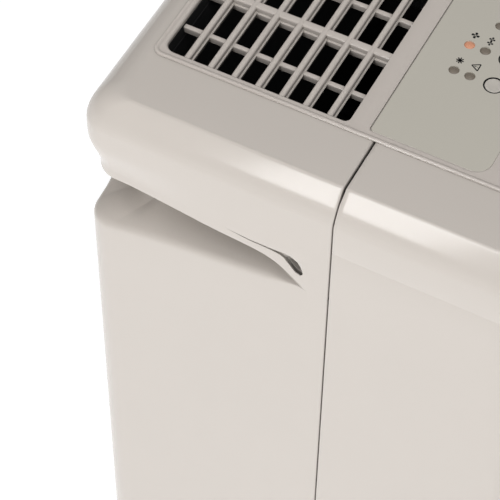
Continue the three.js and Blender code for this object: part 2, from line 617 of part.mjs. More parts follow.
// ---------------------------------------------------------------- lower chassis and tank
const CASTOR_PLACES = {
  front_left: [-SIDE_X + CASTOR_INSET, FRONT_Y + CASTOR_INSET],
  front_right: [SIDE_X - CASTOR_INSET, FRONT_Y + CASTOR_INSET],
  rear_left: [-SIDE_X + CASTOR_INSET, BACK_Y - CASTOR_INSET],
  rear_right: [SIDE_X - CASTOR_INSET, BACK_Y - CASTOR_INSET],
};
const STEM_R = 5;
const STEM_HEIGHT = 10;

function basePan() {
  const inset = WALL + 2 + FIT;
  const outline = (more) => rectangle(-SIDE_X + inset + more, SIDE_X - inset - more,
    FRONT_Y + inset + more, BACK_Y - inset - more, CORNER_R - inset - more);
  const floorTop = PAN_Z + TRAY_FLOOR;
  let pan = cut(
    prismZ(outline(0), PAN_Z, floorTop + 7), prismZ(outline(SHEET), floorTop, floorTop + 8));
  for (const side of [-1, 1]) {
    const x = side * (TANK_X - 14);
    pan = pan.add(block(x - 5, x + 5, FRONT_Y + inset, TANK_BACK_Y, PAN_Z + 1, RAIL_TOP_Z));
  }
  for (const [x, y] of Object.values(CASTOR_PLACES)) {
    const top = PAN_Z + STEM_HEIGHT + 3;
    pan = cut(
      pan.add(rodZ(STEM_R + 3.5, x, y, PAN_Z + 1, Math.min(top, RAIL_TOP_Z), 12)),
      rodZ(STEM_R + FIT, x, y, PAN_Z - 1, PAN_Z + STEM_HEIGHT + FIT, SMALL_ROUND));
  }
  return pan;
}

function dripTray() {
  const x = COIL_X + 14;
  const y0 = CONDENSER_BACK_Y - COIL_THICKNESS - 3;
  const y1 = EVAPORATOR_BACK_Y + 3;
  const rim = 12;
  const trough = 18;
  const nozzle = rodZ(8, 0, INLET_Y, LID_TOP_Z + 1.5, DECK_Z + 1, 20);
  return cut(
    joined(block(-x, x, y0, y1, DECK_Z, DECK_Z + rim),
      block(-trough, trough, INLET_Y - 14, y0 + 1, DECK_Z, DECK_Z + rim), nozzle),
    block(-x + 2, x - 2, y0 + 2, y1 - 2, DECK_Z + 2.5, DECK_Z + rim + 1),
    block(-trough + 2, trough - 2, INLET_Y - 12, y0 + 3, DECK_Z + 2.5, DECK_Z + rim + 1),
    rodZ(5.5, 0, INLET_Y, LID_TOP_Z, DECK_Z + 4, 20));
}

const SWITCH_X = TANK_X - 25;
const SWITCH_Z = TANK_Z + 130;
const PLUNGER_R = 3;

function partition() {
  const x = SIDE_X - WALL - 2 - SHEET - 2 * FIT;
  return cut(
    block(-x, x, PARTITION_Y, PARTITION_Y + SHEET, PAN_Z + TRAY_FLOOR + FIT, DECK_Z - FIT),
    rodY(PLUNGER_R + 0.5, SWITCH_X, PARTITION_Y - 1, PARTITION_Y + SHEET + 1, SWITCH_Z, 16));
}

const FLOAT_X = 60;
const FLOAT_PIVOT_Y = TANK_BACK_Y - TANK_WALL - 9;
const FLOAT_PIVOT_Z = TANK_TOP_Z - 24;
const FLOAT_PIN_R = 2;
const FLOAT_SPAN = 20;
const WINDOW_X = TANK_X - 22;
const WINDOW_WIDTH = 12;
const WINDOW_Z = [TANK_Z + 22, TANK_Z + 140];
const GRIP_X = 48;
const GRIP_DEPTH = 16;
const GRIP_HEIGHT = 22;

function waterTank() {
  const plan = (inset) => rectangle(
    -TANK_X + inset, TANK_X - inset, FRONT_Y + inset, TANK_BACK_Y - inset, 6 - inset);
  const gripTop = TANK_TOP_Z - 8;
  const box = cut(
    prismZ(plan(0), TANK_Z, TANK_TOP_Z),
    prismZ(plan(TANK_WALL), TANK_Z + TANK_WALL, TANK_TOP_Z + 1));
  const brow = prismZ(rectangle(-TANK_X, TANK_X, FRONT_Y, FRONT_Y + 12, 6, 0), TANK_TOP_Z - 1, LID_TOP_Z)
    .intersect(block(-TANK_X, TANK_X, FRONT_Y, FRONT_Y + 3, 0, HEIGHT));
  const grip = block(
    -GRIP_X - 2, GRIP_X + 2, FRONT_Y + 1, FRONT_Y + GRIP_DEPTH + 2, gripTop - GRIP_HEIGHT - 2, gripTop + 2);
  let tank = joined(box, brow, grip);
  for (const x of [FLOAT_X, FLOAT_X + FLOAT_SPAN + 3]) {
    tank = tank.add(block(
      x, x + 3, FLOAT_PIVOT_Y - 5, TANK_BACK_Y - 1, FLOAT_PIVOT_Z - 5, FLOAT_PIVOT_Z + 5));
  }
  return cut(tank,
    block(-GRIP_X, GRIP_X, FRONT_Y - 1, FRONT_Y + GRIP_DEPTH, gripTop - GRIP_HEIGHT, gripTop),
    rodX(FLOAT_PIN_R + FIT, FLOAT_X - 1, FLOAT_X + FLOAT_SPAN + 7, FLOAT_PIVOT_Y, FLOAT_PIVOT_Z, 12),
    block(WINDOW_X - WINDOW_WIDTH / 2 - FIT, WINDOW_X + WINDOW_WIDTH / 2 + FIT, FRONT_Y - 1,
      FRONT_Y + TANK_WALL + 1, WINDOW_Z[0] - FIT, WINDOW_Z[1] + FIT));
}

function tankWindow() {
  const half = WINDOW_WIDTH / 2;
  return block(WINDOW_X - half, WINDOW_X + half, FRONT_Y + 0.4, FRONT_Y + TANK_WALL, ...WINDOW_Z);
}

function tankLid() {
  const z0 = TANK_TOP_Z + FIT;
  const plate = prismZ(rectangle(
    -TANK_X + 1, TANK_X - 1, FRONT_Y + 3 + FIT, TANK_BACK_Y - 1, 0, 5), z0, z0 + LID_THICKNESS);
  const side = TANK_WALL + FIT;
  const skirtLine = (inset) => rectangle(
    -TANK_X + side + inset, TANK_X - side - inset,
    FRONT_Y + GRIP_DEPTH + 4 + inset, TANK_BACK_Y - side - inset, 6 - inset);
  const skirt = cut(prismZ(skirtLine(2), z0 - 4, z0 + 1), prismZ(skirtLine(4), z0 - 5, z0 + 0.5));
  return cut(joined(plate, skirt), rodZ(11, 0, INLET_Y, z0 - 6, z0 + LID_THICKNESS + 1));
}

// The float swings about X through its own origin.
function tankFloat() {
  const span = FLOAT_SPAN;
  return joined(
    rodX(FLOAT_PIN_R, -0.5, span + 6.5, 0, 0, 12),
    block(3.5, 6, -42, 2.5, -3, 2),
    block(span, span + 2.5, -42, 2.5, -3, 2),
    block(3.5, span + 2.5, -64, -34, -14, 4));
}

function castorFork() {
  const leg = CASTOR_WHEEL_WIDTH / 2 + 0.8;
  const top = GROUND_CLEARANCE;
  const legShape = new THREE.Shape();
  legShape.absarc(CASTOR_TRAIL, CASTOR_WHEEL_R, 5, Math.PI, 1.9 * Math.PI);
  legShape.lineTo(11, top - 4);
  legShape.lineTo(-7, top - 4);
  const plates = [-1, 1].map((side) => {
    const x = side * (leg + 1.2);
    return prismX(legShape, x - 1.2, x + 1.2);
  });
  return joined(
    rodZ(13, 0, 0, CASTOR_WHEEL_R * 2 + 1.6, top - FIT, 12),
    rodZ(STEM_R, 0, 0, top - 1, PAN_Z + STEM_HEIGHT, SMALL_ROUND),
    ...plates,
    rodX(AXLE_R, -leg - 1.5, leg + 1.5, CASTOR_TRAIL, CASTOR_WHEEL_R, 12));
}

// A wheel on its own origin, axle along X.
function castorWheel() {
  const half = CASTOR_WHEEL_WIDTH / 2;
  const r = CASTOR_WHEEL_R;
  const profile = [
    [AXLE_R + FIT, -half], [r - 1.5, -half], [r, -half + 1.5], [r, half - 1.5], [r - 1.5, half],
    [AXLE_R + FIT, half], [AXLE_R + FIT, -half]].map(([x, y]) => new THREE.Vector2(x, y));
  return solidOf(new THREE.LatheGeometry(profile, 14).rotateZ(-Math.PI / 2));
}

// ---------------------------------------------------------------- rear intake
function intakeGrille() {
  const y0 = BACK_Y - INTAKE_THICKNESS;
  const x = INTAKE_X - FIT;
  const frame = 7;
  const z0 = HINGE_Z;
  const z1 = INTAKE_TOP_Z - FIT;
  let grille = cut(
    block(-x, x, y0, BACK_Y, z0, z1),
    block(-x + frame, x - frame, y0 - 1, BACK_Y + 1, z0 + frame, z1 - frame));
  for (let z = z0 + frame + 6; z < z1 - frame - 3; z += INTAKE_SLAT_PITCH) {
    grille = grille.add(block(-x + 1, x - 1, y0 + 1.5, BACK_Y - 1, z, z + 3));
  }
  for (let k = -1; k <= 1; k += 1) {
    const post = (k * INTAKE_X) / 2;
    grille = grille.add(block(post - 1.5, post + 1.5, y0 + 1.5, BACK_Y - 1, z0 + 1, z1 - 1));
  }
  const pins = joined(
    rodX(2, x - 1, x + 3, HINGE_Y, HINGE_Z, 12), rodX(2, -x - 3, -x + 1, HINGE_Y, HINGE_Z, 12));
  return joined(grille, rodX(INTAKE_HINGE_R, -x, x, HINGE_Y, HINGE_Z, 20), pins);
}

function airFilter() {
  const x = INTAKE_X - 6;
  const y1 = FILTER_BACK_Y;
  const y0 = y1 - FILTER_THICKNESS;
  const z0 = HINGE_Z + 6;
  const z1 = INTAKE_TOP_Z - 6;
  return cut(
    block(-x, x, y0, y1, z0, z1),
    block(-x + 5, x - 5, y0 - 1, y0 + 1, z0 + 5, z1 - 5),
    block(-x + 5, x - 5, y1 - 1, y1 + 1, z0 + 5, z1 - 5));
}

// ---------------------------------------------------------------- assembly
piece('rear_housing', rearHousing(), 'shell');
piece('front_housing', frontHousing(), 'shell');
piece('top_plate', topPlate(), 'plate');
piece('control_overlay', controlOverlay(), 'overlay');
['key_mode', 'key_fan', 'key_power', 'key_timer', 'key_humidity', 'key_tank'].forEach((name, column) => {
  piece(name, keyCap(), 'key').position.set(keyX(column), KEY_Y, PLATE_TOP_Z - FIT);
});
piece('light_guide', lightGuide(), 'lens');
piece('control_board', controlBoard(), 'board');

piece('fan_scroll', fanScroll(), 'darkPlastic');
piece('scroll_cover', scrollCover(), 'darkPlastic');
piece('outlet_duct', outletDuct(), 'darkPlastic');
const fanAxis = new THREE.Group();
fanAxis.position.set(FAN_X, SCROLL_FRONT_Y, FAN_Z);
model.add(fanAxis);
piece('fan_motor', fanMotor(), 'steel', fanAxis).position.y = -FIT;
piece('fan_impeller', fanImpeller(), 'darkPlastic', fanAxis).position.y = 7;
piece('motor_shaft', rodY(SHAFT_R, 0, -MOTOR_LENGTH - 8, 27, 0, 16), 'steel', fanAxis);

piece('evaporator_coil', coil(EVAPORATOR_BACK_Y), 'aluminium');
piece('condenser_coil', coil(CONDENSER_BACK_Y), 'aluminium');
const refrigeration = new THREE.Group();
refrigeration.position.set(COMPRESSOR_X, COMPRESSOR_Y, 0);
model.add(refrigeration);
piece('compressor', compressor(), 'painted', refrigeration);
FOOT_ANGLES.forEach((angle, i) => {
  piece(`compressor_grommet_${i + 1}`, grommet(), 'rubber', refrigeration)
    .position.set(GROMMET_RING * Math.cos(angle), GROMMET_RING * Math.sin(angle), 0);
});
const COMPRESSOR_TOP_Z = FOOT_Z + 2 + COMPRESSOR_HEIGHT;
const ACCUMULATOR_Z = [FOOT_Z + 46, FOOT_Z + 140];
piece('accumulator', turned([
  [0, ACCUMULATOR_Z[0]], [10, ACCUMULATOR_Z[0]], [20, ACCUMULATOR_Z[0] + 10], [20, ACCUMULATOR_Z[1] - 10],
  [10, ACCUMULATOR_Z[1]], [0, ACCUMULATOR_Z[1]]], 20), 'painted')
  .position.set(ACCUMULATOR_X, COMPRESSOR_Y, 0);
piece('compressor_terminal_cover', block(-16, 16, -COMPRESSOR_R - 13, -COMPRESSOR_R - FIT,
  FOOT_Z + 90, FOOT_Z + 128), 'darkPlastic', refrigeration);

const RUN_X = SIDE_X - WALL - 14;
const evaporatorY = EVAPORATOR_BACK_Y - COIL_THICKNESS / 2;
const condenserY = CONDENSER_BACK_Y - COIL_THICKNESS / 2;
const highZ = COIL_TOP_Z - COIL_PITCH / 2;
const lowZ = COIL_Z + COIL_PITCH / 2;
const coilEnd = COIL_X + 1.5 + FIT;
piece('accumulator_pipe', tube([
  [ACCUMULATOR_X, COMPRESSOR_Y, ACCUMULATOR_Z[0] - FIT], [ACCUMULATOR_X, COMPRESSOR_Y, ACCUMULATOR_Z[0] - 12],
  [ACCUMULATOR_X + 10, COMPRESSOR_Y, ACCUMULATOR_Z[0] - 18],
  [COMPRESSOR_X - COMPRESSOR_R - FIT, COMPRESSOR_Y, ACCUMULATOR_Z[0] - 18]], PIPE_R), 'copper');
piece('suction_pipe', tube([
  [ACCUMULATOR_X, COMPRESSOR_Y, ACCUMULATOR_Z[1] + FIT], [ACCUMULATOR_X, COMPRESSOR_Y, ACCUMULATOR_Z[1] + 8],
  [ACCUMULATOR_X - 13, COMPRESSOR_Y + 2, ACCUMULATOR_Z[1] + 14],
  [-RUN_X + 18, evaporatorY - 12, ACCUMULATOR_Z[1] + 16], [-RUN_X, evaporatorY - 4, ACCUMULATOR_Z[1] + 34],
  [-RUN_X, evaporatorY, highZ - 26], [-RUN_X + 12, evaporatorY, highZ], [-coilEnd, evaporatorY, highZ]],
PIPE_R), 'copper');
piece('discharge_pipe', tube([
  [COMPRESSOR_X, COMPRESSOR_Y, COMPRESSOR_TOP_Z + FIT], [COMPRESSOR_X, COMPRESSOR_Y, COMPRESSOR_TOP_Z + 8],
  [COMPRESSOR_X - 15, COMPRESSOR_Y - 16, COMPRESSOR_TOP_Z + 14],
  [-RUN_X + 18, COMPRESSOR_Y - 18, COMPRESSOR_TOP_Z + 14], [-RUN_X, COMPRESSOR_Y - 12, COMPRESSOR_TOP_Z + 32],
  [-RUN_X, condenserY, highZ - 26], [-RUN_X + 12, condenserY, highZ], [-coilEnd, condenserY, highZ]],
PIPE_R), 'copper');
const DRIER_X = -RUN_X + 12;
const DRIER_Z = [lowZ + 18, lowZ + 62];
const drierY = (evaporatorY + condenserY) / 2;
piece('filter_drier', turned([
  [0, DRIER_Z[0]], [3, DRIER_Z[0]], [8, DRIER_Z[0] + 8],
  [8, DRIER_Z[1] - 8], [3, DRIER_Z[1]], [0, DRIER_Z[1]]], 16), 'copper')
  .position.set(DRIER_X, drierY, 0);
piece('liquid_pipe', tube([
  [-coilEnd, condenserY, lowZ], [-coilEnd - 8, condenserY, lowZ], [DRIER_X, drierY - 4, lowZ + 6],
  [DRIER_X, drierY, lowZ + 16], [DRIER_X, drierY, DRIER_Z[0] - FIT]], 2.5, 6), 'copper');
piece('capillary_tube', tube([
  [DRIER_X, drierY, DRIER_Z[1] + FIT], [DRIER_X, drierY, DRIER_Z[1] + 8],
  [DRIER_X + 2, evaporatorY, DRIER_Z[1] + 14], [DRIER_X + 10, evaporatorY + 7, DRIER_Z[1] + 4],
  [DRIER_X + 10, evaporatorY + 7, lowZ + 14], [DRIER_X + 18, evaporatorY, lowZ],
  [-coilEnd, evaporatorY, lowZ]], 1.5), 'copper');

piece('base_pan', basePan(), 'darkPlastic');
piece('drip_tray', dripTray(), 'darkPlastic');
piece('partition', partition(), 'darkPlastic');
piece('run_capacitor', rodZ(18, SIDE_X - 50, SEAM_Y + 32, PAN_Z + TRAY_FLOOR + FIT, PAN_Z + TRAY_FLOOR + 76),
  'aluminium');
piece('humidity_sensor', block(SIDE_X - 44, SIDE_X - 26, EVAPORATOR_BACK_Y - 6, EVAPORATOR_BACK_Y,
  COIL_Z + 20, COIL_Z + 46), 'darkPlastic');
piece('intake_grille', intakeGrille(), 'shell');
piece('air_filter', airFilter(), 'foam');

piece('water_tank', waterTank(), 'tank');
piece('tank_lid', tankLid(), 'tank');
piece('tank_window', tankWindow(), 'clear');
piece('tank_float', tankFloat(), 'nylon').position.set(FLOAT_X, FLOAT_PIVOT_Y, FLOAT_PIVOT_Z);
const switchY = PARTITION_Y + SHEET;
piece('tank_switch', cut(
  block(SWITCH_X - 10, SWITCH_X + 10, switchY + FIT, switchY + 12, SWITCH_Z - 8, SWITCH_Z + 8),
  rodY(PLUNGER_R + FIT, SWITCH_X, switchY, switchY + 6, SWITCH_Z, 16)), 'darkPlastic');
piece('switch_plunger', rodY(PLUNGER_R, 0, TANK_BACK_Y + FIT + 0.2, switchY + 3.5, 0, 16), 'nylon')
  .position.set(SWITCH_X, 0, SWITCH_Z);

for (const [place, [x, y]] of Object.entries(CASTOR_PLACES)) {
  const castor = new THREE.Group();
  castor.position.set(x, y, 0);
  model.add(castor);
  piece(`castor_fork_${place}`, castorFork(), 'nylon', castor);
  piece(`castor_wheel_${place}`, castorWheel(), 'rubber', castor)
    .position.set(0, CASTOR_TRAIL, CASTOR_WHEEL_R);
}

const [glandX, glandZ] = GLAND_PLACE;
piece('cord_gland', cut(
  joined(rodY(GLAND_R, 0, -14, 0, 0), rodY(GLAND_R + 3, 0, -WALL - FIT - 3, -WALL - FIT, 0)),
  rodY(3.6, 0, -15, 1, 0, 16)), 'rubber').position.set(glandX, BACK_Y, glandZ);
const [drainX, drainZ] = DRAIN_PLACE;
piece('drain_plug', joined(
  rodY(DRAIN_R, 0, -3, 0, 0), rodY(DRAIN_R - 3, 0, -12, -2, 0),
), 'nylon').position.set(drainX, BACK_Y, drainZ);
SCREW_PLACES.forEach(([x, z], i) => {
  const screw = joined(
    rodY(SCREW_HEAD_R, 0, -3, 0, 0, 16), rodY(SCREW_SHANK_R, 0, -SCREW_LENGTH, -2, 0, 12));
  piece(`housing_screw_${i + 1}`, screw, 'steel').position.set(x, BACK_Y - SCREW_SINK + 3 + FIT, z);
});

export default model;
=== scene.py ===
"""Looks of a compressor dehumidifier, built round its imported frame.

The frame gives the boxes of the parts inside and the shapes that are only refined. The outer shells, the
top plate and the key panel are drawn here from their own named sizes. Each sub-assembly below is a class that
makes the pieces of one region and dresses them. Sizes are millimetres and become metres where a mesh is made.
"""

import json
import logging
import math
from dataclasses import dataclass, replace
from enum import Enum
from typing import ClassVar, Iterable, Sequence

import bmesh
import bpy
from mathutils import Matrix, Vector

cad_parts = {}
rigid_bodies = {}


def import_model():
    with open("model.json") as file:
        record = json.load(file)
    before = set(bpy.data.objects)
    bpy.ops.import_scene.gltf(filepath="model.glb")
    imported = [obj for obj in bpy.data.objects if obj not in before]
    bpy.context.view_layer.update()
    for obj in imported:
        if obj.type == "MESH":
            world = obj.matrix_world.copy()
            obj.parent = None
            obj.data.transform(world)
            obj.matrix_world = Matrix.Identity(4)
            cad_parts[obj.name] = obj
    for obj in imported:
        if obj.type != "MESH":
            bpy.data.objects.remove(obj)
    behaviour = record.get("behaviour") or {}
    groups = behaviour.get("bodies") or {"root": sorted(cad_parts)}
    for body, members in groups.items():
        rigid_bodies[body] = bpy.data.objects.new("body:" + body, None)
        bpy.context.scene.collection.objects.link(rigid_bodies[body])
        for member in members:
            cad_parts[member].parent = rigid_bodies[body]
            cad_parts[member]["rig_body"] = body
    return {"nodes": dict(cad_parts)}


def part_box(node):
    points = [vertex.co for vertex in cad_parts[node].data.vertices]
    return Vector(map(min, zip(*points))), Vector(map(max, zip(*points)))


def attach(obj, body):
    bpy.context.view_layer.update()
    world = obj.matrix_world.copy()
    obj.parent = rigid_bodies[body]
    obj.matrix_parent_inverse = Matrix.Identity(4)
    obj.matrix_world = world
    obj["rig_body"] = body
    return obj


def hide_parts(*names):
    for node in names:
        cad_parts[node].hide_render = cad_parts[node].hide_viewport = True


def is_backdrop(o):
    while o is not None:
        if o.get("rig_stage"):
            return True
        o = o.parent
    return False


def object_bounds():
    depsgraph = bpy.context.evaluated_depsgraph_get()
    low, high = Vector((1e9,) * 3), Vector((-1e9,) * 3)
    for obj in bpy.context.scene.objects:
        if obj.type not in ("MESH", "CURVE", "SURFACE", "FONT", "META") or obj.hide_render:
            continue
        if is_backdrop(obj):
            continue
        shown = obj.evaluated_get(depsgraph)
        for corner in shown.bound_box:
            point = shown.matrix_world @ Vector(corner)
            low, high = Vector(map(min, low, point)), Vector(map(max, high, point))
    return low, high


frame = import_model()

MM = 0.001
WELD = 0.002          # points closer than this are one point
SHARP = 35.0          # degrees that an edge bends by before it stays sharp
FINE_SHARP = 38.0     # the same on shapes taken over from the frame
LOG = logging.getLogger("dehumidifier")
Point = tuple[float, float, float]
Flat = tuple[float, float]


# ------------------------------------------------------------------ measures taken from the frame
@dataclass(frozen=True)
class Box:
    """Lowest and highest corner of a CAD node at rest, in millimetres."""

    low: Vector
    high: Vector

    @staticmethod
    def of(node: str) -> "Box":
        """The box of one CAD node."""
        low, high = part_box(node)
        return Box(low / MM, high / MM)

    @property
    def centre(self) -> Vector:
        """Middle of the box."""
        return (self.low + self.high) / 2

    @property
    def size(self) -> Vector:
        """Edge lengths of the box."""
        return self.high - self.low


def smooth(value: float) -> float:
    """Smooth step from 0 to 1, flat outside.

    Args:
        value: Place on the step, which runs from 0 to 1.

    Returns:
        The step's height there.
    """
    t = min(1.0, max(0.0, value))
    return t * t * (3 - 2 * t)


def along(points: Sequence[Flat], at: float) -> float:
    """Reads a curve given by a few points, straight between neighbours.

    Args:
        points: Pairs of place and value, places rising.
        at: Place to read.

    Returns:
        The value there, held at the ends.
    """
    if at <= points[0][0]:
        return points[0][1]
    for (a, va), (b, vb) in zip(points, points[1:]):
        if at <= b:
            return va + (vb - va) * (at - a) / (b - a)
    return points[-1][1]


# ------------------------------------------------------------------ finishes
def linear(colour: str) -> tuple[float, float, float, float]:
    """Turns a colour to what a shader takes.

    Args:
        colour: An sRGB hex colour.

    Returns:
        The same colour, linear, with full alpha.
    """
    parts = [int(colour.lstrip("#")[i:i + 2], 16) / 255 for i in (0, 2, 4)]
    red, green, blue = [p / 12.92 if p <= 0.04045 else ((p + 0.055) / 1.055) ** 2.4 for p in parts]
    return red, green, blue, 1.0


def node(tree: bpy.types.NodeTree, kind: str, settings: dict | None = None,
         **links: bpy.types.NodeSocket) -> bpy.types.Node:
    """Adds one node with its settings and links.

    Args:
        tree: Node tree that takes the node.
        kind: Blender's type name of the node.
        settings: Attribute values by name, and socket values by socket name or number.
        links: Output sockets to link, by input name with _ for a space.

    Returns:
        The new node.
    """
    made = tree.nodes.new(kind)
    for key, value in (settings or {}).items():
        if isinstance(key, int) or key in made.inputs:
            made.inputs[key].default_value = value
        else:
            setattr(made, key, value)
    for key, socket in links.items():
        name = key.replace("_", " ")
        numbered = key.startswith("in") and key[2:].isdigit()
        tree.links.new(socket, made.inputs[int(key[2:]) if numbered else name])
    return made


class Surface(Enum):
    """How a surface was made, which sets the pattern of its fine relief."""

    ERODED = "spark-eroded mould grain"
    POLISHED = "polished mould"
    BRUSHED = "rolled or drawn metal, lines along one axis"
    CAST = "pressed and enamelled, orange peel"
    WOVEN = "fine net or fabric"


@dataclass(frozen=True)
class Finish:
    """One real material and how its surface was made."""

    name: str
    colour: str
    roughness: float
    surface: Surface = Surface.ERODED
    grain: float = 0.9          # mm across one grain of the relief
    relief: float = 0.012       # mm height of the relief
    mottle: float = 0.03        # share by which the colour drifts over some centimetres
    wear: str | None = None     # colour that rubbed edges turn to
    wear_width: float = 0.5
    metallic: float = 0.0
    ior: float = 1.5
    coat: float = 0.0
    transmission: float = 0.0
    glow: str | None = None
    glow_strength: float = 0.0
    lines: Point = (1.0, 1.0, 1.0)  # stretch of the relief along X, Y and Z
    hollow_shade: float = 0.0          # share by which painted shade darkens hollows and crevices
    hollow_shade_reach: float = 34.0   # mm that a hollow is wide, for the painted shade

    def material(self) -> bpy.types.Material:
        """Makes the material, once, and shares it afterwards.

        Returns:
            The Blender material.
        """
        found = bpy.data.materials.get(self.name)
        if found:
            return found
        made = bpy.data.materials.new(self.name)
        made.use_nodes = True
        tree = made.node_tree
        shader = tree.nodes["Principled BSDF"]
        shader.inputs["Metallic"].default_value = self.metallic
        shader.inputs["IOR"].default_value = self.ior
        shader.inputs["Coat Weight"].default_value = self.coat
        shader.inputs["Coat Roughness"].default_value = 0.08
        shader.inputs["Transmission Weight"].default_value = self.transmission
        if self.glow:
            shader.inputs["Emission Color"].default_value = linear(self.glow)
            shader.inputs["Emission Strength"].default_value = self.glow_strength
        place = node(tree, "ShaderNodeTexCoord")
        fitted = node(tree, "ShaderNodeMapping", {"Scale": self.lines}, Vector=place.outputs["Object"])
        drift = node(tree, "ShaderNodeTexNoise", {"Scale": 1 / (45 * MM), "Detail": 3.0, "Roughness": 0.5},
                     Vector=place.outputs["Object"])
        colour = self._colour(tree, drift.outputs["Fac"])
        tree.links.new(colour, shader.inputs["Base Color"])
        rough = node(tree, "ShaderNodeMapRange", {
            "From Min": 0.3, "From Max": 0.7, "To Min": self.roughness * 0.92,
            "To Max": self.roughness * 1.08,
        }, Value=drift.outputs["Fac"])
        tree.links.new(rough.outputs["Result"], shader.inputs["Roughness"])
        bump = node(tree, "ShaderNodeBump", {"Strength": 1.0, "Distance": self.relief * MM},
                    Height=self._relief(tree, fitted.outputs["Vector"]))
        tree.links.new(bump.outputs["Normal"], shader.inputs["Normal"])
        return made

    def _colour(self, tree: bpy.types.NodeTree, drift: bpy.types.NodeSocket) -> bpy.types.NodeSocket:
        """Base colour with its slow drift, painted shade that darkens the hollows, and paler or barer edges
        where it wears.

        Args:
            tree: Node tree of the material.
            drift: Noise that the colour drifts by.

        Returns:
            The socket that gives the colour.
        """
        base = linear(self.colour)
        low = tuple(c * (1 - self.mottle) for c in base[:3]) + (1.0,)
        high = tuple(min(1.0, c * (1 + self.mottle)) for c in base[:3]) + (1.0,)
        mixed = node(tree, "ShaderNodeMix", {"data_type": "RGBA", 6: low, 7: high}, in0=drift)
        # Painted shade: ambient occlusion darkens the colour in hollows, crevices and the finger recess.
        if self.hollow_shade:
            shaded_colour = tuple(c * (1 - self.hollow_shade) for c in base[:3]) + (1.0,)
            hollow = node(tree, "ShaderNodeAmbientOcclusion",
                          {"samples": 6, "Distance": self.hollow_shade_reach * MM})
            closed = node(tree, "ShaderNodeMapRange", {"From Min": 1.0, "From Max": 0.15, "To Min": 0.0,
                                                       "To Max": 1.0}, Value=hollow.outputs["AO"])
            mixed = node(tree, "ShaderNodeMix", {"data_type": "RGBA", 7: shaded_colour},
                         in0=closed.outputs["Result"],
                         in6=mixed.outputs[2])
        if not self.wear:
            return mixed.outputs[2]
        round_normal = node(tree, "ShaderNodeBevel", {"samples": 4, "Radius": self.wear_width * MM})
        flat_normal = node(tree, "ShaderNodeNewGeometry")
        facing = node(tree, "ShaderNodeVectorMath", {"operation": "DOT_PRODUCT"},
                      in0=round_normal.outputs["Normal"], in1=flat_normal.outputs["Normal"])
        edge = node(tree, "ShaderNodeMapRange",
                    {"From Min": 0.97, "From Max": 0.80, "To Min": 0.0, "To Max": 0.7},
                    Value=facing.outputs["Value"])
        worn = node(tree, "ShaderNodeMix", {"data_type": "RGBA", 7: linear(self.wear)},
                    in0=edge.outputs["Result"], in6=mixed.outputs[2])
        return worn.outputs[2]

    def _relief(self, tree: bpy.types.NodeTree, place: bpy.types.NodeSocket) -> bpy.types.NodeSocket:
        """Height of the fine relief that this kind of surface has.

        Args:
            tree: Node tree of the material.
            place: Object coordinates, stretched by the finish's lines.

        Returns:
            The socket that gives the height.
        """
        scale = 1 / (self.grain * MM)
        if self.surface is Surface.WOVEN:
            wave = node(tree, "ShaderNodeTexVoronoi", {"feature": "F1", "Scale": scale}, Vector=place)
            return wave.outputs["Distance"]
        if self.surface is Surface.CAST:
            peel = node(tree, "ShaderNodeTexNoise", {"Scale": scale * 0.5, "Detail": 1.0}, Vector=place)
            return peel.outputs["Fac"]
        detail = {Surface.ERODED: 5.0, Surface.POLISHED: 1.0, Surface.BRUSHED: 3.0}[self.surface]
        grain = node(tree, "ShaderNodeTexNoise", {"Scale": scale, "Detail": detail, "Roughness": 0.65},
                     Vector=place)
        return grain.outputs["Fac"]


# ABS from a fine spark-eroded mould: a warm grey-white with a satin sheen and a soft, faint grain. Its
# hollows darken by painted shade, and the plate and the tank front take the same.
SHELL_ABS = Finish("Moulded ABS warm white", "#dad2ca", 0.12, grain=0.8, relief=0.0022, mottle=0.012,
                   wear="#ece6dd", wear_width=0.7, ior=1.49, hollow_shade=0.5)
# The same ABS from the top plate's own mould, a shade greyer.
PLATE_ABS = replace(SHELL_ABS, name="Moulded ABS plate", colour="#dad1c9", roughness=0.16)
# Polycarbonate film, matt-coated and printed on its back: a flat greenish grey.
OVERLAY_FILM = Finish("Matt polycarbonate film", "#d2cdc1", 0.42, grain=0.5, relief=0.0015, mottle=0.01,
                      ior=1.58)
# Silicone-coated ABS caps under the same print colour, slightly warmer than the film.
KEY_ABS = Finish("Satin ABS key cap", "#d3cdc4", 0.38, grain=0.5, relief=0.0015, mottle=0.01,
                 wear="#e4dfd8",
                 wear_width=0.3)
# Smoked acrylic windows: dark until the lamp behind them is on.
LAMP_OFF = Finish("Smoked acrylic window", "#8a8074", 0.35, Surface.POLISHED, grain=2.0, relief=0.001,
                  ior=1.49)
# The same window with its lamp on: a soft orange that hardly spreads.
LAMP_LIT = replace(LAMP_OFF, name="Lit acrylic window", colour="#dba184", glow="#ff9a68",
                   glow_strength=0.11)
# Screen-printed ink, dead matt.
INK = Finish("Screen ink black", "#141414", 0.7, grain=0.2, relief=0.001, mottle=0.02)
# Flame-retardant ABS of the parts inside, moulded in black, and set darker than the plastic alone as painted
# shade, so that the duct under the grille comes out black.
BLACK_ABS = Finish("Black flame-retardant ABS", "#0b0b0c", 0.55, grain=0.9, relief=0.01, wear="#202122",
                   wear_width=0.4)
# The same grade pigmented grey, for trays and base: it shows its ribs, where the black hides them.
GREY_ABS = replace(BLACK_ABS, name="Grey structural ABS", colour="#3b3c3d", wear="#565758")
# Dead black with no shine at all: painted shade in the joint's gap, the gaps round the keys, the lining of
# the grille's mouth and the motor's vent slots.
SHADE_BLACK = Finish("Black foam seal", "#050505", 0.95, grain=0.5, relief=0.02, mottle=0.1)
# Zinc-plated screws, cold-headed: a cool, slightly cloudy metal.
SCREW_STEEL = Finish("Zinc-plated steel", "#9a9c9e", 0.36, Surface.CAST, grain=0.6, relief=0.004,
                     mottle=0.08,
                     wear="#b9bcbe", wear_width=0.2, metallic=1.0)
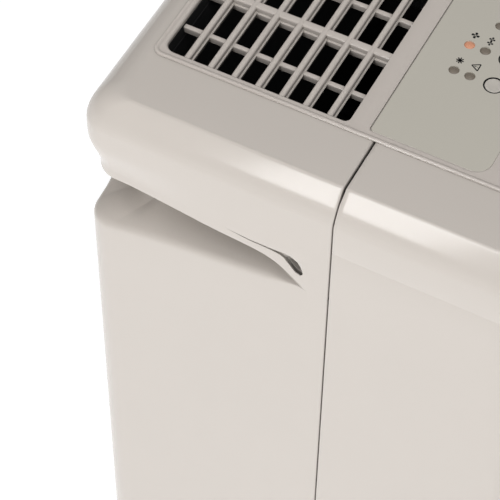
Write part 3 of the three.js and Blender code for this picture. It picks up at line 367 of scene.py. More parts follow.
# Turned and drawn steel of shaft, brackets and forks: fine lines along the work.
DRAWN_STEEL = Finish("Drawn bright steel", "#8b8d90", 0.32, Surface.BRUSHED, grain=0.4, relief=0.003,
                     mottle=0.05, wear="#b4b6b9", wear_width=0.3, metallic=1.0, lines=(1.0, 0.06, 1.0))
# Pressed steel under baked enamel: deep black with orange peel, brown where the edges rub.
BLACK_ENAMEL = Finish("Baked black enamel on pressed steel", "#101112", 0.34, Surface.CAST, grain=1.6,
                      relief=0.03, mottle=0.15, wear="#3a302a", wear_width=0.4, coat=0.3)
# Thin rolled aluminium fins: bright, with lines along the rolling.
ALUMINIUM = Finish("Rolled aluminium fin stock", "#c6c8ca", 0.3, Surface.BRUSHED, grain=0.6, relief=0.006,
                   mottle=0.06, metallic=1.0, lines=(1.0, 1.0, 0.08))
# Drawn copper pipe, dulled by brazing heat near its ends.
COPPER = Finish("Drawn copper tube", "#b87350", 0.34, Surface.BRUSHED, grain=0.5, relief=0.004, mottle=0.22,
                wear="#d39a78", wear_width=0.3, metallic=1.0)
# Moulded rubber: near black, dusty on the high spots.
RUBBER = Finish("Moulded black rubber", "#17181a", 0.72, grain=0.7, relief=0.02, mottle=0.1, wear="#34363a",
                wear_width=0.5)
# Milky, unpigmented polypropylene of the tank's lid: pale, with a soft sheen.
TANK_PP = Finish("Natural polypropylene", "#d9dad6", 0.34, Surface.POLISHED, grain=2.2, relief=0.008,
                 mottle=0.02, wear="#e9eae6", wear_width=0.6)
# The tank's own moulding, in the shells' ABS, so that its front reads as part of the case.
TANK_FACE = replace(SHELL_ABS, name="Moulded ABS tank front")
# Clear polycarbonate of the level window, polished: a hard gloss over what lies behind.
CLEAR_PC = Finish("Clear polycarbonate", "#cfd8da", 0.06, Surface.POLISHED, grain=4.0, relief=0.002,
                  mottle=0.01, ior=1.58, transmission=0.92)
# Woven nylon net of the filter in its grey frame.
NET_NYLON = Finish("Woven nylon net", "#4a4d50", 0.6, Surface.WOVEN, grain=0.6, relief=0.05, mottle=0.1)
# Glass-filled nylon, moulded: ivory and a little dry, for hubs, plunger and connectors.
NYLON = Finish("Glass-filled nylon", "#c9c6bc", 0.45, grain=0.6, relief=0.008, mottle=0.04, wear="#dedbd2",
               wear_width=0.3)
# Green solder mask over glass fibre, with a faint weave.
BOARD = Finish("Green solder mask on glass fibre", "#1f4a33", 0.32, Surface.WOVEN, grain=0.8, relief=0.006,
               mottle=0.05, wear="#8a8a5a", wear_width=0.2)
# Studio floor: white paper, lit so that it shows no tone of its own.
FLOOR_WHITE = Finish("White paper floor", "#f2f2f2", 0.9, grain=3.0, relief=0.01, mottle=0.005,
                     glow="#ffffff", glow_strength=0.66)


# ------------------------------------------------------------------ mesh building
def rounded(x0: float, x1: float, y0: float, y1: float, low: float, high: float | None = None,
            steps: int = 6) -> list[Flat]:
    """A rectangle with round corners, the same number of points whatever its radii.

    Args:
        x0: Left side.
        x1: Right side.
        y0: Low side.
        y1: High side.
        low: Radius of the two low corners.
        high: Radius of the two high corners, the low one's where it is left out.
        steps: Steps of each corner's arc.

    Returns:
        Points counter-clockwise from the low right corner.
    """
    high = low if high is None else high
    corners = ((x1, y0, -1, 1, low, -90), (x1, y1, -1, -1, high, 0), (x0, y1, 1, -1, high, 90),
               (x0, y0, 1, 1, low, 180))
    points = []
    for x, y, sx, sy, radius, start in corners:
        radius = max(radius, 0.01)
        for i in range(steps + 1):
            angle = math.radians(start + 90 * i / steps)
            points.append((x + sx * radius + radius * math.cos(angle),
                           y + sy * radius + radius * math.sin(angle)))
    return points


def circle(x: float, y: float, radius: float, sides: int = 32) -> list[Flat]:
    """Points of a circle, counter-clockwise."""
    turn = 2 * math.pi / sides
    return [(x + radius * math.cos(i * turn), y + radius * math.sin(i * turn)) for i in range(sides)]


def arc(x: float, y: float, radius: float, start: float, end: float, steps: int) -> list[Flat]:
    """Points along an arc, angles in degrees, both ends included."""
    turns = [math.radians(start + (end - start) * i / steps) for i in range(steps + 1)]
    return [(x + radius * math.cos(t), y + radius * math.sin(t)) for t in turns]


class Axis(Enum):
    """Axis that a flat outline is drawn out along."""

    X = "x"
    Y = "y"
    Z = "z"

    def place(self, u: float, v: float, w: float) -> Point:
        """Turns an outline's coordinates to space.

        Args:
            u: First coordinate of the outline.
            v: Second coordinate of the outline.
            w: Height along the axis.

        Returns:
            The point in space.
        """
        if self is Axis.X:
            return w, u, v
        if self is Axis.Y:
            return u, w, v
        return u, v, w


class Form:
    """Vertices and faces of one piece under construction, in millimetres."""

    def __init__(self) -> None:
        """Starts empty."""
        self.points: list[Point] = []
        self.faces: list[tuple[int, ...]] = []
        self.fills: list[list[list[int]]] = []

    def loop(self, points: Iterable[Sequence[float]]) -> list[int]:
        """Adds points and returns their numbers."""
        start = len(self.points)
        self.points.extend(tuple(p) for p in points)
        return list(range(start, len(self.points)))

    def ring(self, outline: Iterable[Flat], height: float, axis: Axis = Axis.Z) -> list[int]:
        """Adds a flat outline at a height along an axis."""
        return self.loop(axis.place(u, v, height) for u, v in outline)

    def bridge(self, first: list[int], second: list[int], closed: bool = True) -> None:
        """Joins two loops of equal length by a band of quads."""
        count = len(first) if closed else len(first) - 1
        for i in range(count):
            j = (i + 1) % len(first)
            self.faces.append((first[i], first[j], second[j], second[i]))

    def tower(self, loops: Sequence[list[int]], closed: bool = True) -> None:
        """Bridges each loop to the next."""
        for first, second in zip(loops, loops[1:]):
            self.bridge(first, second, closed)

    def cap(self, loop: list[int]) -> None:
        """Closes a loop by one face."""
        self.faces.append(tuple(loop))

    def fill(self, *loops: list[int]) -> None:
        """Closes an outer loop with the holes that lie in it by a flat pierced face."""
        self.fills.append(list(loops))

    def prism(self, outline: Sequence[Flat], low: float, high: float, axis: Axis = Axis.Z,
              edge: float = 0.0) -> "Form":
        """Adds a closed prism, its two rims chamfered by edge through a shrink about its middle.

        Args:
            outline: Convex or concave outline.
            low: Low end along the axis.
            high: High end along the axis.
            axis: Axis of the prism.
            edge: Chamfer of both rims.

        Returns:
            The form itself.
        """
        middle = [sum(p[k] for p in outline) / len(outline) for k in (0, 1)]
        reach = [max(abs(p[k] - middle[k]) for p in outline) or 1.0 for k in (0, 1)]
        small = [tuple(middle[k] + (p[k] - middle[k]) * (1 - edge / reach[k]) for k in (0, 1))
                 for p in outline]
        rows = [(outline, low), (outline, high)]
        if edge:
            rows = [(small, low), (outline, low + edge), (outline, high - edge), (small, high)]
        loops = [self.ring(o, h, axis) for o, h in rows]
        self.tower(loops)
        self.cap(loops[0][::-1])
        self.cap(loops[-1])
        return self

    def sheet(self, outer: Sequence[Flat], holes: Sequence[Sequence[Flat]], low: float, high: float,
              axis: Axis = Axis.Z) -> "Form":
        """Adds a flat plate with holes through it.

        Args:
            outer: Outline of the plate.
            holes: Outlines of its holes.
            low: Low face along the axis.
            high: High face along the axis.
            axis: Axis through the plate.

        Returns:
            The form itself.
        """
        loops = [(self.ring(o, low, axis), self.ring(o, high, axis)) for o in (outer, *holes)]
        for bottom, top in loops:
            self.bridge(bottom, top)
        self.fill(*(b for b, _ in loops))
        self.fill(*(t for _, t in loops))
        return self

    def lathe(self, profile: Sequence[Flat], centre: Point, axis: Axis = Axis.Z, sides: int = 40) -> "Form":
        """Adds a turned solid.

        Args:
            profile: Radius and height pairs from one end to the other. Ends off the axis join each other.
            centre: Point that the heights start from.
            axis: Axis of turning.
            sides: Steps round.

        Returns:
            The form itself.
        """
        loops = []
        for radius, height in profile:
            spots = [axis.place(u, v, height) for u, v in circle(0, 0, max(radius, 0.02), sides)]
            loops.append(self.loop(tuple(a + b for a, b in zip(p, centre)) for p in spots))
        self.tower(loops)
        if profile[0][0] < 0.05 or profile[-1][0] < 0.05:
            self.cap(loops[0][::-1])
            self.cap(loops[-1])
        else:
            self.bridge(loops[-1], loops[0])
        return self

    def tube(self, path: Sequence[Point], radius: float, sides: int = 14) -> "Form":
        """Adds a round tube along a path, carried without twist and closed at both ends.

        Args:
            path: Points along the middle.
            radius: Outer radius.
            sides: Steps round.

        Returns:
            The form itself.
        """
        spots = [Vector(p) for p in path]
        heading = [(b - a).normalized() for a, b in zip(spots, spots[1:])]
        heading = [heading[0], *((a + b).normalized() for a, b in zip(heading, heading[1:])), heading[-1]]
        across = heading[0].orthogonal().normalized()
        loops = []
        for spot, ahead in zip(spots, heading):
            across = (across - ahead * across.dot(ahead)).normalized()
            up = ahead.cross(across)
            loops.append(self.loop(spot + across * u + up * v for u, v in circle(0, 0, radius, sides)))
        self.tower(loops)
        self.cap(loops[0][::-1])
        self.cap(loops[-1])
        return self

    def shifted(self, dx: float, dy: float, dz: float) -> "Form":
        """Moves all points so far, and returns the form itself."""
        self.points = [(x + dx, y + dy, z + dz) for x, y, z in self.points]
        return self

    def mesh(self, name: str) -> bpy.types.Mesh:
        """Turns the form into a mesh in metres.

        Args:
            name: Name of the mesh.

        Returns:
            A mesh whose faces point outwards.
        """
        bm = bmesh.new()
        spots = [bm.verts.new(Vector(p) * MM) for p in self.points]
        for face in self.faces:
            corners = list(dict.fromkeys(spots[i] for i in face))
            if len(corners) > 2:
                bm.faces.new(corners)
        for loops in self.fills:
            edges = []
            for loop in loops:
                for a, b in zip(loop, loop[1:] + loop[:1]):
                    edges.append(bm.edges.get((spots[a], spots[b])) or bm.edges.new((spots[a], spots[b])))
            bmesh.ops.triangle_fill(bm, edges=edges, use_beauty=True)
        bmesh.ops.remove_doubles(bm, verts=bm.verts, dist=WELD * MM)
        bmesh.ops.recalc_face_normals(bm, faces=bm.faces)
        made = bpy.data.meshes.new(name)
        bm.to_mesh(made)
        bm.free()
        made.shade_smooth()
        made.set_sharp_from_angle(angle=math.radians(SHARP))
        return made


# ------------------------------------------------------------------ from mesh to piece
class Kit:
    """Turns meshes into pieces that ride on the frame."""

    @staticmethod
    def add(name: str, made: bpy.types.Mesh | Form, finish: Finish, body: str,
            stands_for: Sequence[str] = (),
            slot: str | None = None, rounding: float = 0.0) -> bpy.types.Object:
        """Makes one finished piece.

        Args:
            name: Name of the piece.
            made: Its mesh or form.
            finish: Its finish.
            body: CAD body that it rides on.
            stands_for: CAD nodes that it replaces.
            slot: Material slot of the record; not used.
            rounding: Width of a live bevel on its sharp edges, in millimetres.

        Returns:
            The piece's object.
        """
        data = made.mesh(name) if isinstance(made, Form) else made
        piece = bpy.data.objects.new(name, data)
        bpy.context.scene.collection.objects.link(piece)
        data.materials.clear()
        data.materials.append(finish.material())
        if rounding:
            bevel = piece.modifiers.new("edges", "BEVEL")
            bevel.width = rounding * MM
            bevel.segments = 2
            bevel.limit_method = "ANGLE"
            bevel.angle_limit = math.radians(FINE_SHARP)
            bevel.use_clamp_overlap = True
            bevel.harden_normals = False
        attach(piece, body)
        if stands_for:
            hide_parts(*stands_for)
        LOG.info("%s: %d faces on %s", name, len(data.polygons), body)
        return piece

    @staticmethod
    def copy_of(cad: str, dissolve: bool = True) -> bpy.types.Mesh:
        """A merged copy of a CAD node's mesh, ready for rounding.

        Args:
            cad: Name of the CAD node.
            dissolve: Whether flat runs of triangles become one face.

        Returns:
            The new mesh.
        """
        bm = bmesh.new()
        bm.from_mesh(frame["nodes"][cad].data)
        bmesh.ops.remove_doubles(bm, verts=bm.verts, dist=WELD * MM)
        if dissolve:
            bmesh.ops.dissolve_limit(bm, angle_limit=math.radians(1), verts=bm.verts, edges=bm.edges)
        made = bpy.data.meshes.new(cad + "_fine")
        bm.to_mesh(made)
        bm.free()
        made.shade_smooth()
        made.set_sharp_from_angle(angle=math.radians(FINE_SHARP))
        return made

    @staticmethod
    def finer(cad: str, finish: Finish, slot: str, rounding: float = 0.4) -> bpy.types.Object:
        """A CAD node's own shape with rounded edges, a smooth skin and its finish."""
        body = frame["nodes"][cad]["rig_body"]
        return Kit.add(cad + "_moulded", Kit.copy_of(cad), finish, body, [cad], slot, rounding)

    @staticmethod
    def cut(target: bpy.types.Object, cutter: Form) -> None:
        """Cuts a form out of a piece, for good.

        Args:
            target: Piece that is cut.
            cutter: Closed form of what is taken away.
        """
        tool = bpy.data.objects.new("cutter", cutter.mesh("cutter"))
        bpy.context.scene.collection.objects.link(tool)
        step = target.modifiers.new("cut", "BOOLEAN")
        step.operation = "DIFFERENCE"
        step.solver = "EXACT"
        step.object = tool
        Kit.bake(target)
        bpy.data.objects.remove(tool)

    @staticmethod
    def bake(target: bpy.types.Object) -> None:
        """Puts what the modifiers make into the mesh itself and drops them.

        Args:
            target: Piece whose modifiers are applied.
        """
        ready = target.evaluated_get(bpy.context.evaluated_depsgraph_get())
        made = bpy.data.meshes.new_from_object(ready)
        target.modifiers.clear()
        target.data = made
        made.shade_smooth()
        made.set_sharp_from_angle(angle=math.radians(SHARP))


def repeat_tree() -> bpy.types.NodeTree:
    """Geometry Nodes tree that lays copies of a piece in two directions, each turned a step further.

    Returns:
        The tree, with inputs Count, Step, Turn, Rows, Row step and Material.
    """
    found = bpy.data.node_groups.get("Repeat piece")
    if found:
        return found
    tree = bpy.data.node_groups.new("Repeat piece", "GeometryNodeTree")
    for name, kind in (("Geometry", "NodeSocketGeometry"), ("Count", "NodeSocketInt"),
                       ("Step", "NodeSocketVector"), ("Turn", "NodeSocketVector"),
                       ("Rows", "NodeSocketInt"),
                       ("Row step", "NodeSocketVector"), ("Material", "NodeSocketMaterial")):
        tree.interface.new_socket(name, in_out="INPUT", socket_type=kind)
    tree.interface.new_socket("Geometry", in_out="OUTPUT", socket_type="NodeSocketGeometry")
    given = node(tree, "NodeGroupInput").outputs
    line = node(tree, "GeometryNodeMeshLine", {"mode": "OFFSET"}, Count=given["Count"],
                Offset=given["Step"])
    number = node(tree, "GeometryNodeInputIndex")
    turned = node(tree, "ShaderNodeVectorMath", {"operation": "SCALE"}, in0=given["Turn"],
                  Scale=number.outputs["Index"])
    turn = node(tree, "FunctionNodeEulerToRotation", None, Euler=turned.outputs["Vector"])
    first = node(tree, "GeometryNodeInstanceOnPoints", None, Points=line.outputs["Mesh"],
                 Instance=given["Geometry"], Rotation=turn.outputs["Rotation"])
    rows = node(tree, "GeometryNodeMeshLine", {"mode": "OFFSET"}, Count=given["Rows"],
                Offset=given["Row step"])
    second = node(tree, "GeometryNodeInstanceOnPoints", None, Points=rows.outputs["Mesh"],
                  Instance=first.outputs["Instances"])
    real = node(tree, "GeometryNodeRealizeInstances", None, Geometry=second.outputs["Instances"])
    dressed = node(tree, "GeometryNodeSetMaterial", None, Geometry=real.outputs["Geometry"],
                   Material=given["Material"])
    node(tree, "NodeGroupOutput", None, Geometry=dressed.outputs["Geometry"])
    return tree


@dataclass(frozen=True)
class Repeat:
    """How a piece repeats: copies a step apart, each turned a step further about the origin, in rows."""

    count: int
    step: Point = (0.0, 0.0, 0.0)
    turn: Point = (0.0, 0.0, 0.0)
    rows: int = 1
    row_step: Point = (0.0, 0.0, 0.0)

    def mesh(self, form: Form, name: str, finish: Finish, centre: Point = (0.0, 0.0,
                                                                           0.0)) -> bpy.types.Mesh:
        """The copies as one plain mesh.

        Args:
            form: The piece that repeats, about the origin where it turns.
            name: Name of the mesh.
            finish: Finish that the tree sets.
            centre: Where the origin goes, in millimetres.

        Returns:
            The mesh with every copy in it.
        """
        tree = repeat_tree()
        holder = bpy.data.objects.new(name, form.mesh(name))
        bpy.context.scene.collection.objects.link(holder)
        step = holder.modifiers.new("repeat", "NODES")
        step.node_group = tree
        inputs = {s.name: s.identifier for s in tree.interface.items_tree if s.in_out == "INPUT"}
        step[inputs["Count"]] = self.count
        step[inputs["Step"]] = [v * MM for v in self.step]
        step[inputs["Turn"]] = list(self.turn)
        step[inputs["Rows"]] = self.rows
        step[inputs["Row step"]] = [v * MM for v in self.row_step]
        step[inputs["Material"]] = finish.material()
        ready = holder.evaluated_get(bpy.context.evaluated_depsgraph_get())
        made = bpy.data.meshes.new_from_object(ready)
        bpy.data.objects.remove(holder)
        made.transform(Matrix.Translation(Vector(centre) * MM))
        made.shade_smooth()
        made.set_sharp_from_angle(angle=math.radians(SHARP))
        return made


# ------------------------------------------------------------------ shells
WALL = 2.8            # wall of the shells
CROWN = 570.0         # top of the plate's bead
BAND = 568.6          # flat band of the shells round the plate
FLOOR_EDGE = 32.0     # bottom edge of the shells
SIDE = 161.5          # side faces, from the middle
END = 137.0           # front and rear face, from the middle
CORNER = 16.0         # radius of the upright corners
SHOULDER = 24.0       # height of the bend over the ends
JOINT = -14.5         # middle of the joint between the shells
PLATE_HALF = 113.6    # half width of the hole that the plate sits in
# Bends of the shoulder over a side: radius, first and last angle from the side, steps.
SIDE_BENDS: tuple[tuple[float, float, float, int], ...] = (
    (12.0, 0, 22, 5), (60.0, 22, 40, 8), (3.0, 40, 90, 7))


def side_section(inset: float) -> list[Flat]:
    """Section of the shoulder over a side: a soft bend, a nearly flat slope, then a tight bend to the band.

    Args:
        inset: How far the section is drawn in from the outer face.

    Returns:
        Distances in from the side face, with heights, from the lowest point up.
    """
    rise = sum(radius * (math.sin(math.radians(to)) - math.sin(math.radians(start)))
               for radius, start, to, _ in SIDE_BENDS)
    middle = (SIDE_BENDS[0][0], BAND - rise)
    points: list[Flat] = []
    previous = SIDE_BENDS[0][0]
    for radius, start, to, steps in SIDE_BENDS:
        turn = math.radians(start)
        middle = (middle[0] + (radius - previous) * math.cos(turn),
                  middle[1] - (radius - previous) * math.sin(turn))
        previous = radius
        for i in range(1 if points else 0, steps + 1):
            turn = math.radians(start + (to - start) * i / steps)
            points.append((middle[0] - (radius - inset) * math.cos(turn),
                           middle[1] + (radius - inset) * math.sin(turn)))
    return points


class Run(Enum):
    """Stretch of the shells' perimeter that a station lies on."""

    SIDE = 1
    TO_CORNER = 2
    CORNER = 3
    FROM_CORNER = 4
    END = 5


@dataclass(frozen=True)
class Station:
    """One place round the perimeter of a shell half, before it is mirrored to either side."""

    run: Run
    at: float

    def place(self, half: float, end: float, radius: float) -> Flat:
        """Where the station lies on a ring.

        Args:
            half: Half the ring's width.
            end: How far the ring reaches from the middle along Y.
            radius: Its corner radius.

        Returns:
            Distances from the middle along X and Y.
        """
        last = min(100.0, end - radius - 2)
        if self.run is Run.SIDE:
            return half, self.at if self.at <= 60 else 60 + (self.at - 60) * (last - 60) / 40
        if self.run is Run.TO_CORNER:
            return half, last + (end - radius - last) * self.at
        if self.run is Run.CORNER:
            turn = math.radians(90 * self.at)
            return half - radius * (1 - math.cos(turn)), end - radius * (1 - math.sin(turn))
        if self.run is Run.FROM_CORNER:
            return half - radius - (half - radius - 100) * self.at, end
        return self.at, end


@dataclass(frozen=True)
class Recess:
    """Finger recess round a rear corner.

    Its curves go by the distance behind the joint between the shells, or from the corner on the rear face.
    Heights are from the crown: lower edge, lip above it, and over the lip a small pocket between its floor,
    the tongue, and its ceiling, the crease.
    """

    lip: tuple[Flat, ...] = (
        (6, -84.8), (11, -84.4), (17.7, -80.6), (26, -74.4), (30, -71.4), (35, -68.9), (44, -66.9),
        (54, -65.9), (70, -64.7), (90, -64))
    low: tuple[Flat, ...] = (
        (6, -84.6), (11, -84.7), (19, -83), (41, -86.4), (66, -90), (103, -95), (133, -101), (151, -103))
    low_behind: tuple[Flat, ...] = (
        (16, -103), (25, -102), (35, -98.5), (45, -93), (55, -87), (60, -85), (62, -84.7))
    crease: tuple[Flat, ...] = (
        (6, -70), (15.5, -70), (17, -65.5), (19, -62.5), (23, -60), (26.6, -59.4), (35, -60), (47, -60),
        (62, -58.5))
    tongue: tuple[Flat, ...] = (
        (6, -71), (15.7, -71.5), (17, -73), (20, -71.8), (24, -67), (27, -63.3), (30, -62), (35, -61.3),
        (47, -60.9), (62, -58.8))
    pocket: tuple[Flat, ...] = (
        (15.6, 0), (16.6, 9), (19, 9.5), (23, 5.5), (26.5, 1.6), (35, 0.8), (48, 0.5), (62, 0))
    reach: float = 24.0        # depth of the recess
    draw_in: float = 4.5       # how far the hood over it leans in
    blend: tuple[float, ...] = (-56.5, -53, -50, -47, -44, -41, -38, -35, -31)  # rows from hood to side

    def rows(self, station: Station, inner: bool) -> list[Flat]:
        """Inset and height of every row through the recess at a station, lowest first.

        Args:
            station: Place round the perimeter.
            inner: Whether the rows are those of the wall's inside.

        Returns:
            Pairs of inset from the side face and height.
        """
        half, y = station.place(SIDE, END, CORNER)
        if station.run in (Run.SIDE, Run.TO_CORNER):
            along_it, hood = y - JOINT, 1.0
            low = along(self.low, along_it)
        elif station.run is Run.CORNER:
            along_it, hood = 135.5 + 16 * station.at, 1.0
            low = along(self.low, along_it)
        else:
            from_corner = SIDE - half
            along_it, hood = max(6.0, 12 + (62 - from_corner) * 1.6), smooth((55 - from_corner) / 35)
            low = along(self.low_behind, from_corner)
        behind = station.run in (Run.FROM_CORNER, Run.END)
        lip = sum(along(self.lip, along_it + shift) for shift in (-3, -1.5, 0, 1.5, 3)) / 5
        low = min(low, lip - 0.5)
        depth = self.reach * smooth((along_it - 12) / 50)
        inward = self.draw_in * hood * (1.0 if behind else smooth((along_it - 60) / 75))
        crease = -58.5 if behind else along(self.crease, along_it)
        tongue = -58.8 if behind else along(self.tongue, along_it)
        pocket = 0.0 if behind else along(self.pocket, along_it)
        back = min(low + 0.38 * depth, lip - 0.4 * depth)
        curve = min(5.0, 0.25 * depth)
        lip_round = min(1.1, 0.3 * depth)

        def bend(a: Flat, b: Flat, c: Flat, steps: int) -> list[Flat]:
            """A round stretch from a to c that leans towards b."""
            return [tuple((1 - t) ** 2 * a[k] + 2 * t * (1 - t) * b[k] + t * t * c[k] for k in (0, 1))
                    for t in (i / steps for i in range(steps + 1))]

        slope = (back - low) / max(depth, 0.01)
        soft = min(3.6, 0.3 * depth)
        floor_end = (depth - curve, back - curve * slope)
        rows = bend((0, low - 1.2 * soft), (0, low), (soft, low + soft * slope), 7)
        rows += [tuple(rows[-1][k] + (floor_end[k] - rows[-1][k]) * f for k in (0, 1)) for f in (0.33,
                                                                                                 0.67)]
        wall_room = lip - back
        rows += bend(floor_end, (depth, back), (depth, back + min(curve, 0.4 * wall_room)), 4)
        top_curve = min(0.3 * depth, 4, 0.3 * wall_room)
        top_curve_in = min(top_curve, 0.3 * abs(depth - inward))
        ceiling_at = max(depth, inward + lip_round)
        rows += bend((depth, lip - top_curve), (ceiling_at, lip), (ceiling_at - top_curve_in, lip), 3)
        rows += bend((inward + lip_round, lip), (inward, lip), (inward, lip + lip_round), 4)
        rows += [(inward, lip + lip_round + (tongue - 0.5 - lip - lip_round) * f) for f in (0.5, 1.0)]
        drop = 0.0 if inner else min(0.7 * pocket, max(0.0, tongue - lip - lip_round - 1.6))
        edge = min(0.7, pocket)
        pocket_end = inward + max(pocket, 1.2 * edge)
        rows += [(inward + 0.1 * edge, tongue), (inward + edge, tongue - 0.2 * edge),
                 (inward + 1.2 * edge, tongue - drop), (pocket_end, tongue - drop),
                 (pocket_end, crease - 0.08), (inward + 0.15 * edge, crease), (inward, crease + 0.4)]
        for i, height in enumerate(self.blend):
            rows.append((inward * smooth((-33 - height) / 26), max(height, crease + 0.6 + 0.05 * i)))
        if inner:
            rows = self._inside(rows, lip)
        return [(x, CROWN + z) for x, z in rows]

    @staticmethod
    def _inside(rows: list[Flat], lip: float) -> list[Flat]:
        """Rows of the wall's inside: lower under the recess, and not below the lip's own wall above it.

        Args:
            rows: Rows of the outside.
            lip: Height of the lip.

        Returns:
            The rows moved in by the wall.
        """
        floor_rows, lip_rows, even_rows = 14, 16, 22
        moved = []
        for i, (x, z) in enumerate(rows):
            if i < floor_rows:
                z -= 2.0
            elif i > lip_rows:
                z = max(z, lip + WALL + 0.02 * max(0, i - even_rows))
            moved.append((x + WALL, z))
        return moved


@dataclass
class Shell:
    """One moulded half of the case, lofted round its perimeter from the bottom edge to the plate's seat."""

    name: str
    node: str
    rear: bool
    seat: float                      # where the plate's hole ends, from the middle
    end_shoulder: float              # depth of the bend over the end face
    recess: Recess | None = None
    crease_at: float | None = None   # height of the faint line on the front shell
    front_seam: float = 14.72        # edge of the front shell at the joint, from the middle

    def stations(self) -> list[Station]:
        """Places the stations, closer where the recess turns.

        Returns:
            Stations from the joint round to the middle of the end face.
        """
        if self.rear:
            behind = [0.4, 0.62, 1.05, 2, 4, 6, 8, *range(10, 16), 15.6, 16, 16.5, 17, 17.5, *range(18, 29),
                      30, 32, *range(35, 51, 3), *range(54, 71, 4), *range(75, 111, 5), 114.5]
            side = [JOINT + t for t in behind]
        else:
            side = [self.front_seam + t for t in (0, 0.15, 0.5)] + [18, 24, 32, 42, 54, 66, 78, 90, 100]
        made = [Station(Run.SIDE, y) for y in side]
        made += [Station(Run.TO_CORNER, f) for f in (0.25, 0.5, 0.75, 0.93)]
        made += [Station(Run.CORNER, f / 14) for f in range(15)]
        steps = 16 if self.rear else 4
        made += [Station(Run.FROM_CORNER, (f + 0.5) / steps) for f in range(steps)]
        made += [Station(Run.END, x) for x in (100, 75, 50, 25, 0)]
        return made

    def rows(self, station: Station, inner: bool) -> list[tuple[float, float, float, float]]:
        """Every ring of the wall at a station, from the bottom edge up.

        Args:
            station: Place round the perimeter.
            inner: Whether the rings are those of the wall's inside.

        Returns:
            Half width, reach along Y, corner radius and height of each.
        """
        wall = WALL if inner else 0.0
        rows = []
        rim = ((0.5, 0), (0.15, 0.15), (0, 0.5)) if not inner else ((WALL, 0), (WALL, 0.15), (WALL, 0.5))
        walls = [(inset, FLOOR_EDGE + up) for inset, up in rim]
        walls += [(wall, z) for z in (60, 130, 200, 270, 340, 400, 440)]
        if self.recess:
            walls += self.recess.rows(station, inner)
        else:
            walls += [(wall, z) for z in (480, 510)]
            if self.crease_at:
                dent = 0.0 if inner else 0.12
                walls += [(wall, self.crease_at - 0.5), (wall + dent, self.crease_at),
                          (wall, self.crease_at + 0.5)]
        for inset, z in walls:
            rows.append((SIDE - inset, END - inset, max(CORNER - 0.25 * inset, 1), z))
        corner = SHOULDER - wall
        end = self.end_shoulder - wall
        for back_x, z in side_section(wall):
            over = min(1.0, max(0.0, (z - BAND + SHOULDER) / corner))
            back_y = wall + end * (1 - math.sqrt(1 - over * over))
            rows.append((SIDE - back_x, END - back_y, CORNER - 0.45 * back_x, z))
        last = rows[-1]
        rows.append((0.5 * (last[0] + PLATE_HALF + 0.1), 0.5 * (last[1] + self.seat + 0.5), 7, last[3]))
        rows.append((PLATE_HALF, self.seat + 0.4, 3.9, last[3]))
        rows.append((PLATE_HALF - 0.4, self.seat, 3.5, last[3] - (0 if inner else 0.3)))
        return rows

    def point(self, station: Station, row: tuple[float, float, float, float], left: bool) -> Point:
        """Space point of a station and row, the front shell's edge drawn back a little on the band.

        Args:
            station: Place round the perimeter.
            row: Half width, reach, corner radius and height of the ring.
            left: Whether the point is on the left side.

        Returns:
            The point, in millimetres.
        """
        half, reach, radius, z = row
        x, y = station.place(half, reach, radius)
        if not self.rear and station.run is Run.SIDE and station.at < 16:
            y += 0.6 * smooth((z - 560) / 8)
        return (-x if left else x), (y if self.rear else -y), z

    def form(self) -> Form:
        """Lofts outside and inside and closes their edges.

        Returns:
            The whole closed wall.
        """
        form = Form()
        stations = self.stations()
        ordered = [(s, True) for s in stations] + [(s, False) for s in stations[-2::-1]]
        walls = []
        for inner in (False, True):
            columns = []
            for number, (station, left) in enumerate(ordered):
                rows = self.rows(station, inner)
                near = min(number, len(ordered) - 1 - number)
                eased = {0: 0.55, 1: 0.2}.get(near, 0.0) if not inner else 0.0
                spots = [self.point(station, row, left) for row in rows]
                if eased:
                    spots = self.eased(spots, eased)
                columns.append(form.loop(spots))
            walls.append(columns)
        outer, inner = walls
        form.tower(outer, closed=False)
        form.tower(inner, closed=False)
        for one, other in ((outer[0], inner[0]), (outer[-1], inner[-1])):
            form.bridge(one, other, closed=False)
        for row in (0, -1):
            form.bridge([c[row] for c in outer], [c[row] for c in inner], closed=False)
        return form

    @staticmethod
    def eased(spots: list[Point], by: float) -> list[Point]:
        """Draws the points of an edge inwards along the section's own normal.

        Args:
            spots: Points of the edge, from the bottom up.
            by: How far they move.

        Returns:
            The moved points.
        """
        moved = []
        for i, (x, y, z) in enumerate(spots):
            a, b = spots[max(i - 1, 0)], spots[min(i + 1, len(spots) - 1)]
            dx, dz = b[0] - a[0], b[2] - a[2]
            size = math.hypot(dx, dz) or 1.0
            side = 1.0 if x < 0 else -1.0
            moved.append((x + side * by * abs(dz) / size, y, z - by * abs(dx) / size))
        return moved

    def build(self, cutters: Sequence[Form]) -> bpy.types.Object:
        """The finished shell with its openings."""
        piece = Kit.add(self.name, self.form(), SHELL_ABS, "cabinet", [self.node], "shell")
        for cutter in cutters:
            Kit.cut(piece, cutter)
        return piece


